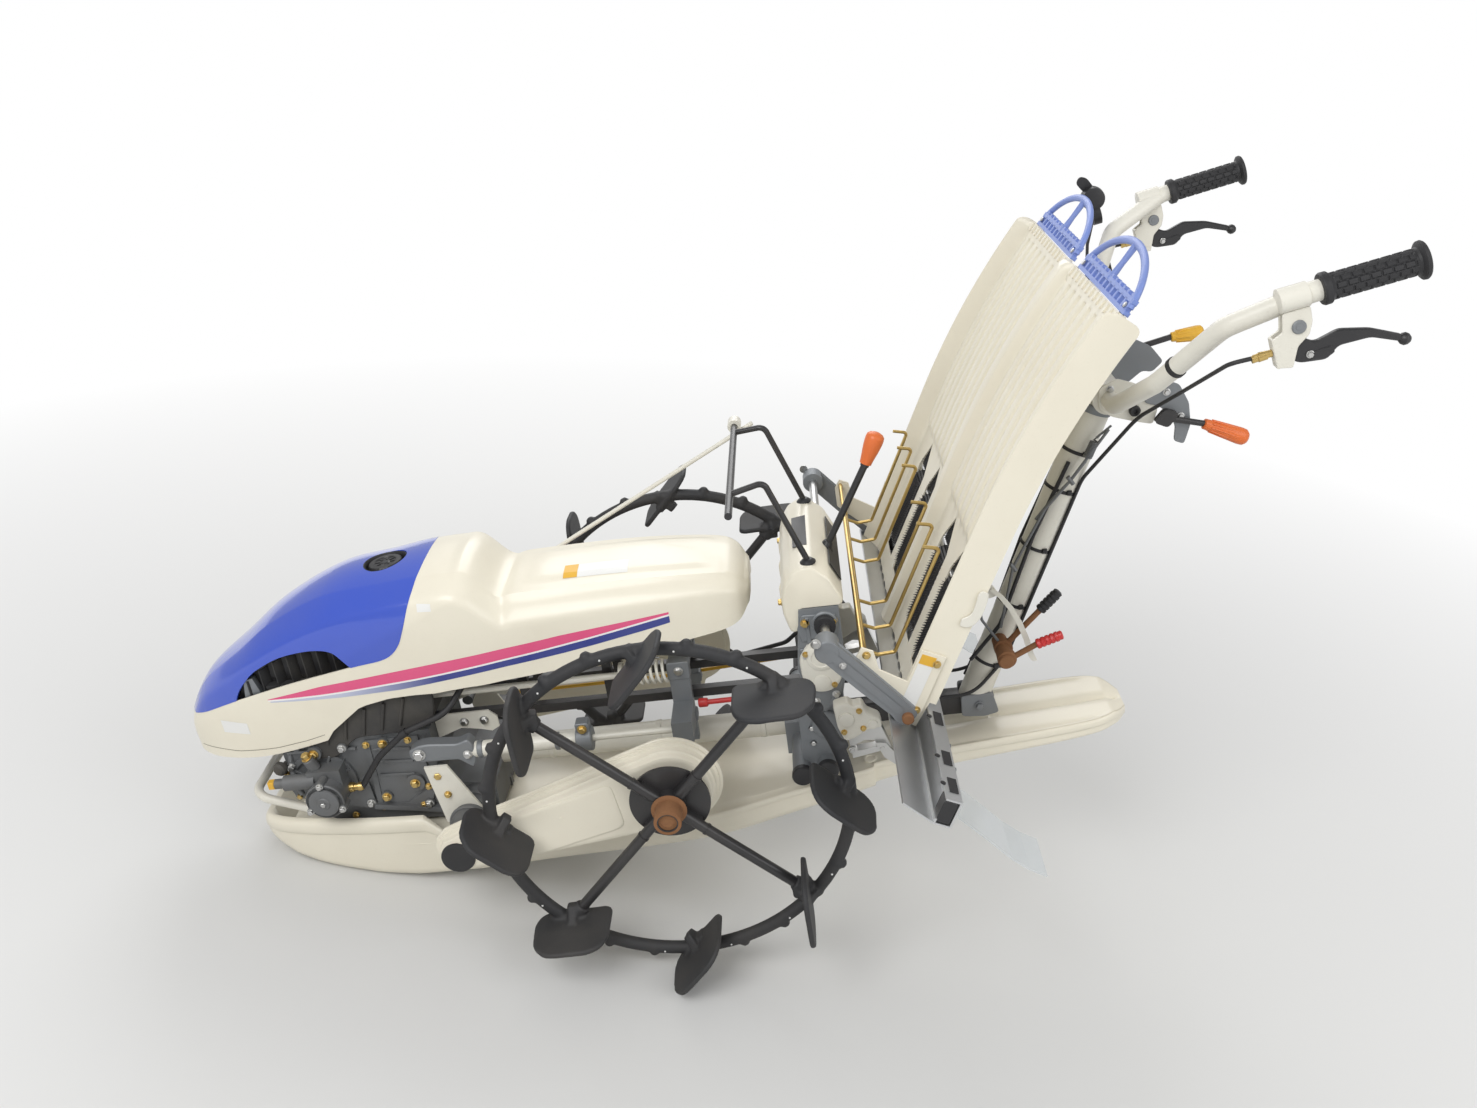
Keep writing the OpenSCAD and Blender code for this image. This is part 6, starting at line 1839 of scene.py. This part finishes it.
        bolt_row(bm, ((-846, 514), (-868, 472)), 57, 1, 8, 4)
        bolt_row(bm, ((-764, 506), (-790, 548), (-836, 544), (-852, 528)), 54, -1, 8, 4)
        obj_from(bm, "control_plate_bolts", ["bright_steel", "black_plastic"], "machine", 30)
        bm = bmesh.new()
        add_tube(bm, [(-850, 63, 472), (-906, 63, 456)], 5, 12)
        add_tube(bm, [(-806, -60, 548), (-892, -60, 566)], 5, 12)
        add_prism(bm, rounded([(-862, 480), (-842, 488), (-826, 470), (-846, 460)], 5, 3), 57.4,
                  68, bevel=1.4)
        add_prism(bm, rounded([(-816, 560), (-796, 556), (-796, 536), (-818, 540)], 5, 3), -66,
                  -54.4, bevel=1.4)
        obj_from(bm, "control_lever_rods", "black_steel", "machine", 36, nodes=("control_levers",))
        for name, a, b, r, mat in (("control_knob_near", Vector((-902, 63, 457)), Vector((-970, 63, 424)),
                                    13.6, "orange_plastic"), ("control_knob_far", Vector((-884, -60, 564)),
                                                              Vector((-936, -60, 566)), 12.6,
                                                              "yellow_plastic")):
            n = (b - a).length
            bm = bmesh.new()
            add_lathe(bm, [(0, r * 0.5), (1, r * 0.62), (n * 0.3, r * 0.72), (n * 0.6, r * 0.9),
                           (n * 0.82, r), (n * 0.92, r * 0.96), (n * 0.98, r * 0.7), (n, r * 0.3),
                           (n + 0.2, 0.5)], a, b - a, 32)
            u, v = basis(b - a)
            for k in range(10):
                t = 2 * math.pi * k / 10
                d = u * math.cos(t) + v * math.sin(t)
                add_tube(bm, [a + (b - a) * s + d * (r * (0.66 + 0.32 * s)) for s in (0.15, 0.5, 0.8)], 1.2,
                         6)
            obj_from(bm, name, mat, "machine", 40)
        return {"FINISHED"}


class TRANSPLANTER_OT_cables(bpy.types.Operator):
    """Clutch cables with gold ferrules, and the oil hose with its crimped ends"""
    bl_idname = "transplanter.cables"
    bl_label = "Cables and hose"

    def execute(self, context):
        foot, u = COLUMN_FOOT, COLUMN_DIR
        behind, beside = 30.6 * math.sin(math.radians(40)), 30.6 * math.cos(math.radians(40))
        on = Vector((-u.z * behind, beside, u.x * behind))
        down = Vector((-GRIP_DIR.z, 0, GRIP_DIR.x))
        grip = Vector(BAR[4])
        black, gold = bmesh.new(), bmesh.new()
        for side in (1, -1):
            path = [grip - GRIP_DIR * 214 + down * 66, grip - GRIP_DIR * 250 + down * 64,
                    Vector((-838, 160, 548)), Vector((-800, 60, 478)), foot + u * 440 + on,
                    foot + u * 90 + on, Vector((-520, 43.3, -8)), Vector((-296, 43.3, -8))]
            path = [Vector((p.x, side * p.y, p.z)) for p in path]
            add_tube(black, smooth_path(path, 70), 3.1, 12)
            a = grip - GRIP_DIR * 195.4 + down * 66
            a.y *= side
            d = (path[1] - a).normalized()
            add_lathe(gold, [(0, 3.4), (0.6, 5), (8, 5), (8.6, 4), (11, 4), (11.6, 5.4), (17, 5.4),
                             (17.6, 4.2), (24, 3.8), (24.6, 3.2)], a, d, 24)
        hose = [(589.7, 116, -26), (566, 116, -26), (520, 122, 34), (462, 123, 80), (384, 118, 106),
                (322, 52, 176), (266.4, 52, 176)]
        add_tube(black, smooth_path(hose[1:], 60), 5.6, 16)
        add_lathe(gold, [(0, 6), (1, 8), (9, 8), (10, 6.4), (16, 6.4), (17, 8), (24, 7.6), (26, 6)], hose[0],
                  (-1, 0, 0), 20)
        add_lathe(gold, [(-3, 6), (-2, 7.4), (12, 7.4), (13, 6)], (268, 52, 176), (1, 0, 0), 20)
        add_tube(black, [(470, 122.8, 74), (459, 123, 81)], 7.2, 18)
        obj_from(black, "cable_sheaths", "black_rubber", "machine", 40, nodes=("control_cables", "oil_hose"))
        obj_from(gold, "cable_ferrules", "gold_steel", "machine", 32)
        return {"FINISHED"}


class TRANSPLANTER_OT_column_trim(bpy.types.Operator):
    """Straps, springs, rods, small levers and the guide arc along the handle column"""
    bl_idname = "transplanter.column_trim"
    bl_label = "Column trim"

    def execute(self, context):
        foot, top, u = COLUMN_FOOT, COLUMN_TOP, COLUMN_DIR
        bm = bmesh.new()
        for s in (70, 190, 300, 410, 480):
            add_lathe(bm, [(-3, 27.2), (-2.4, 28.8), (2.4, 28.8), (3, 27.2)], foot + u * s, u, 40)
            c = foot + u * s + Vector((-8, 27, 0))
            add_box(bm, (c.x - 4, c.y - 1, c.z - 4), (c.x + 4, c.y + 5, c.z + 4), bevel=1.2)
        add_tube(bm, smooth_path([foot + u * 470 + Vector((16, 30, 0)), foot + u * 330 + Vector((22, 30, 4)),
                                  foot + u * 160 + Vector((18, 34, 0)), (-520, 40, 60)], 40), 3.4, 10)
        add_tube(bm, smooth_path([foot + u * 500 + Vector((14, -30, 0)),
                                  foot + u * 300 + Vector((20, -31, 4)),
                                  foot + u * 120 + Vector((14, -32, 0)), (-516, -30, -10)], 40), 3.4, 10)
        obj_from(bm, "column_straps", "black_rubber", "machine", 36)
        bm = bmesh.new()
        add_spring(bm, (-740, 44, 446), (-722, 44, 408), 6.5, 1.2, 11)
        add_tube(bm, [(-762, 50, 466), (-740, 44, 446)], 2, 8)
        add_tube(bm, smooth_path([(-722, 44, 408), (-698, 40, 375), (-664, 38, 340), (-641, 36, 311)], 20),
                 2.6, 8)
        add_tube(bm, smooth_path([(-758, 50, 460), (-697, 46, 378), (-655, 42, 330), (-600, 40, 230),
                                  (-574, 44, 120)], 20), 2.6, 8)
        add_spring(bm, (-557, 70, 300), (-535, 70, 256), 8, 1.3, 10)
        add_tube(bm, [(-574, 60, 330), (-557, 70, 300)], 2, 8)
        add_tube(bm, smooth_path([(-535, 70, 256), (-528, 70, 236), (-540, 66, 150), (-566, 60, 104)], 16),
                 2.4, 8)
        for at in ((-697, 46, 378), (-600, 40, 230)):
            add_lathe(bm, [(-8, 4), (8, 4)], at, (0.5, 0, 0.8), 6)
        obj_from(bm, "column_rods", "grey_casting", "machine", 36)
        bm = bmesh.new()
        arc = [(-555, 209), (-569, 194), (-584, 171), (-597, 142), (-608, 108), (-614, 79), (-619, 67)]
        outer = [(x - 9, z - 2) for x, z in arc]
        add_plate(bm, arc + outer[::-1], 70, 74, 0.8, 0, 3)
        add_plate(bm, [(-542, 226), (-562, 214), (-570, 196), (-552, 190), (-530, 206), (-520, 222)], 66,
                  70, 0.8, 0, 6)
        obj_from(bm, "guide_arc", "cream_paint", "machine", 32)
        bm = bmesh.new()
        add_lathe(bm, [(0, 11), (2, 13), (80, 13), (82, 11), (82, 6)], (-572, 27.6, 88), (0, 1, 0), 28)
        add_tube(bm, [(-580, 60, 96), (-640, 60, 156)], 5, 12)
        add_tube(bm, [(-582, 98, 90), (-626, 98, 112)], 5, 12)
        for y in (60, 98):
            add_lathe(bm, [(-7, 13), (-6, 16), (6, 16), (7, 13)], (-574, y, 90), (0, 1, 0), 28)
        obj_from(bm, "side_lever_rods", "rusty_steel", "machine", 36, nodes=("side_levers",))
        bm = bmesh.new()
        for i, (p, q, r) in enumerate((((-638, 60, 154), (-671, 60, 186), 9.5),
                                       ((-624, 98, 111), (-668, 98, 125), 9))):
            d = Vector(q) - Vector(p)
            n = d.length
            prof = [(0, r * 0.7)]
            for k in range(5):
                prof += [(n * (0.04 + 0.17 * k), r), (n * (0.14 + 0.17 * k), r),
                         (n * (0.155 + 0.17 * k), r * 0.86), (n * (0.195 + 0.17 * k), r * 0.86)]
            prof = prof[:-1] + [(n * 0.96, r * 0.9), (n, r * 0.6), (n + 0.3, 0.5)]
            add_lathe(bm, prof, p, d, 12, mat=i, start=math.pi / 4)
        obj_from(bm, "side_lever_blocks", ["black_rubber", "red_plastic"], "machine", 30)
        bm = bmesh.new()
        add_plate(bm, [(-485, 238), (-489, 250), (-500, 253), (-506, 258), (-512, 273), (-517, 290),
                       (-524, 294), (-533, 288), (-530, 276), (-525, 262), (-518, 248), (-508, 237),
                       (-497, 234)], 233.3, 237.6, 0.8, 0, 3)
        obj_from(bm, "tray_hook", "cream_paint", TRAY, 32)
        bm = bmesh.new()
        for side in (1, -1):
            for y in (150, 260, 370, 440):
                add_lathe(bm, [(0, 4.4), (1.4, 4.2), (2, 3)], RAIL @ Vector((-14, side * y, 24.1)),
                          RAIL.to_3x3() @ Vector((0, 0, 1)), 16)
                add_box(bm, (-36, side * y - 18, 24.05), (-22, side * y + 18, 25.4), bevel=0.4, to=RAIL)
            add_prism(bm, rounded([(-36, -18.5), (-14, -18.5), (-14, 19.5), (-36, 19.5)], 4, 3),
                      *between(side, 452, 477.6), bevel=1.0, to=RAIL)
            add_bolt(bm, RAIL @ Vector((-26, side * 420, -23.2)),
                     RAIL.to_3x3() @ Vector((0, 0, -1)), 9, 5, mat=1)
        obj_from(bm, "rail_inserts", ["black_plastic", "bright_steel"], "machine", 30)
        bm = bmesh.new()
        for side in (1, -1):
            for z in (10, -12):
                for y in (310, 374):
                    add_bolt(bm, RAIL @ Vector((-43.2, side * y, z)),
                             RAIL.to_3x3() @ Vector((-1, 0, 0)), 8, 4)
            bolt_out(bm, (HEAD[0], 50.2, HEAD[1] + 18), side, 9, 4)
        add_lathe(bm, [(-2, 28.4), (0, 29.4), (10, 29.4), (12, 28)], top - u * 6, u, 40)
        for y0, y1 in ((-28, -20), (20, 28)):
            add_plate(bm, [(-500, -20), (-556, -20), (-566, -60), (-540, -66), (-500, -62)], y0,
                      y1, 1.0, 0, 6)
        for side in (1, -1):
            bolt_out(bm, (-532, 28.4, -42), side, 12, 6)
        obj_from(bm, "column_fittings", "grey_paint", "machine", 30)
        return {"FINISHED"}


OPERATORS = [
    TRANSPLANTER_OT_stage, TRANSPLANTER_OT_finishes, TRANSPLANTER_OT_hood, TRANSPLANTER_OT_filler,
    TRANSPLANTER_OT_wheels, TRANSPLANTER_OT_swing_cases, TRANSPLANTER_OT_float, TRANSPLANTER_OT_tray,
    TRANSPLANTER_OT_belts, TRANSPLANTER_OT_stoppers, TRANSPLANTER_OT_gearbox_trim, TRANSPLANTER_OT_frame_trim,
    TRANSPLANTER_OT_planting, TRANSPLANTER_OT_handles, TRANSPLANTER_OT_cables,
    TRANSPLANTER_OT_column_trim]


class TRANSPLANTER_PT_panel(bpy.types.Panel):
    """Lists the pieces of the transplanter"""
    bl_idname = "TRANSPLANTER_PT_panel"
    bl_label = "Transplanter"
    bl_space_type = "VIEW_3D"
    bl_region_type = "UI"
    bl_category = "Transplanter"

    def draw(self, context):
        for op in OPERATORS:
            self.layout.operator(op.bl_idname)


CLASSES = [TransplanterFinish, TransplanterSizes, *OPERATORS, TRANSPLANTER_PT_panel]


def register():
    for c in CLASSES:
        bpy.utils.register_class(c)
    bpy.types.Scene.transplanter_finish = bpy.props.PointerProperty(type=TransplanterFinish)
    bpy.types.Scene.transplanter_sizes = bpy.props.PointerProperty(type=TransplanterSizes)


def unregister():
    del bpy.types.Scene.transplanter_sizes
    del bpy.types.Scene.transplanter_finish
    for c in reversed(CLASSES):
        bpy.utils.unregister_class(c)


def main():
    register()
    for op in OPERATORS:
        group, name = op.bl_idname.split(".")
        getattr(getattr(bpy.ops, group), name)()


if __name__ == "__main__":
    main()
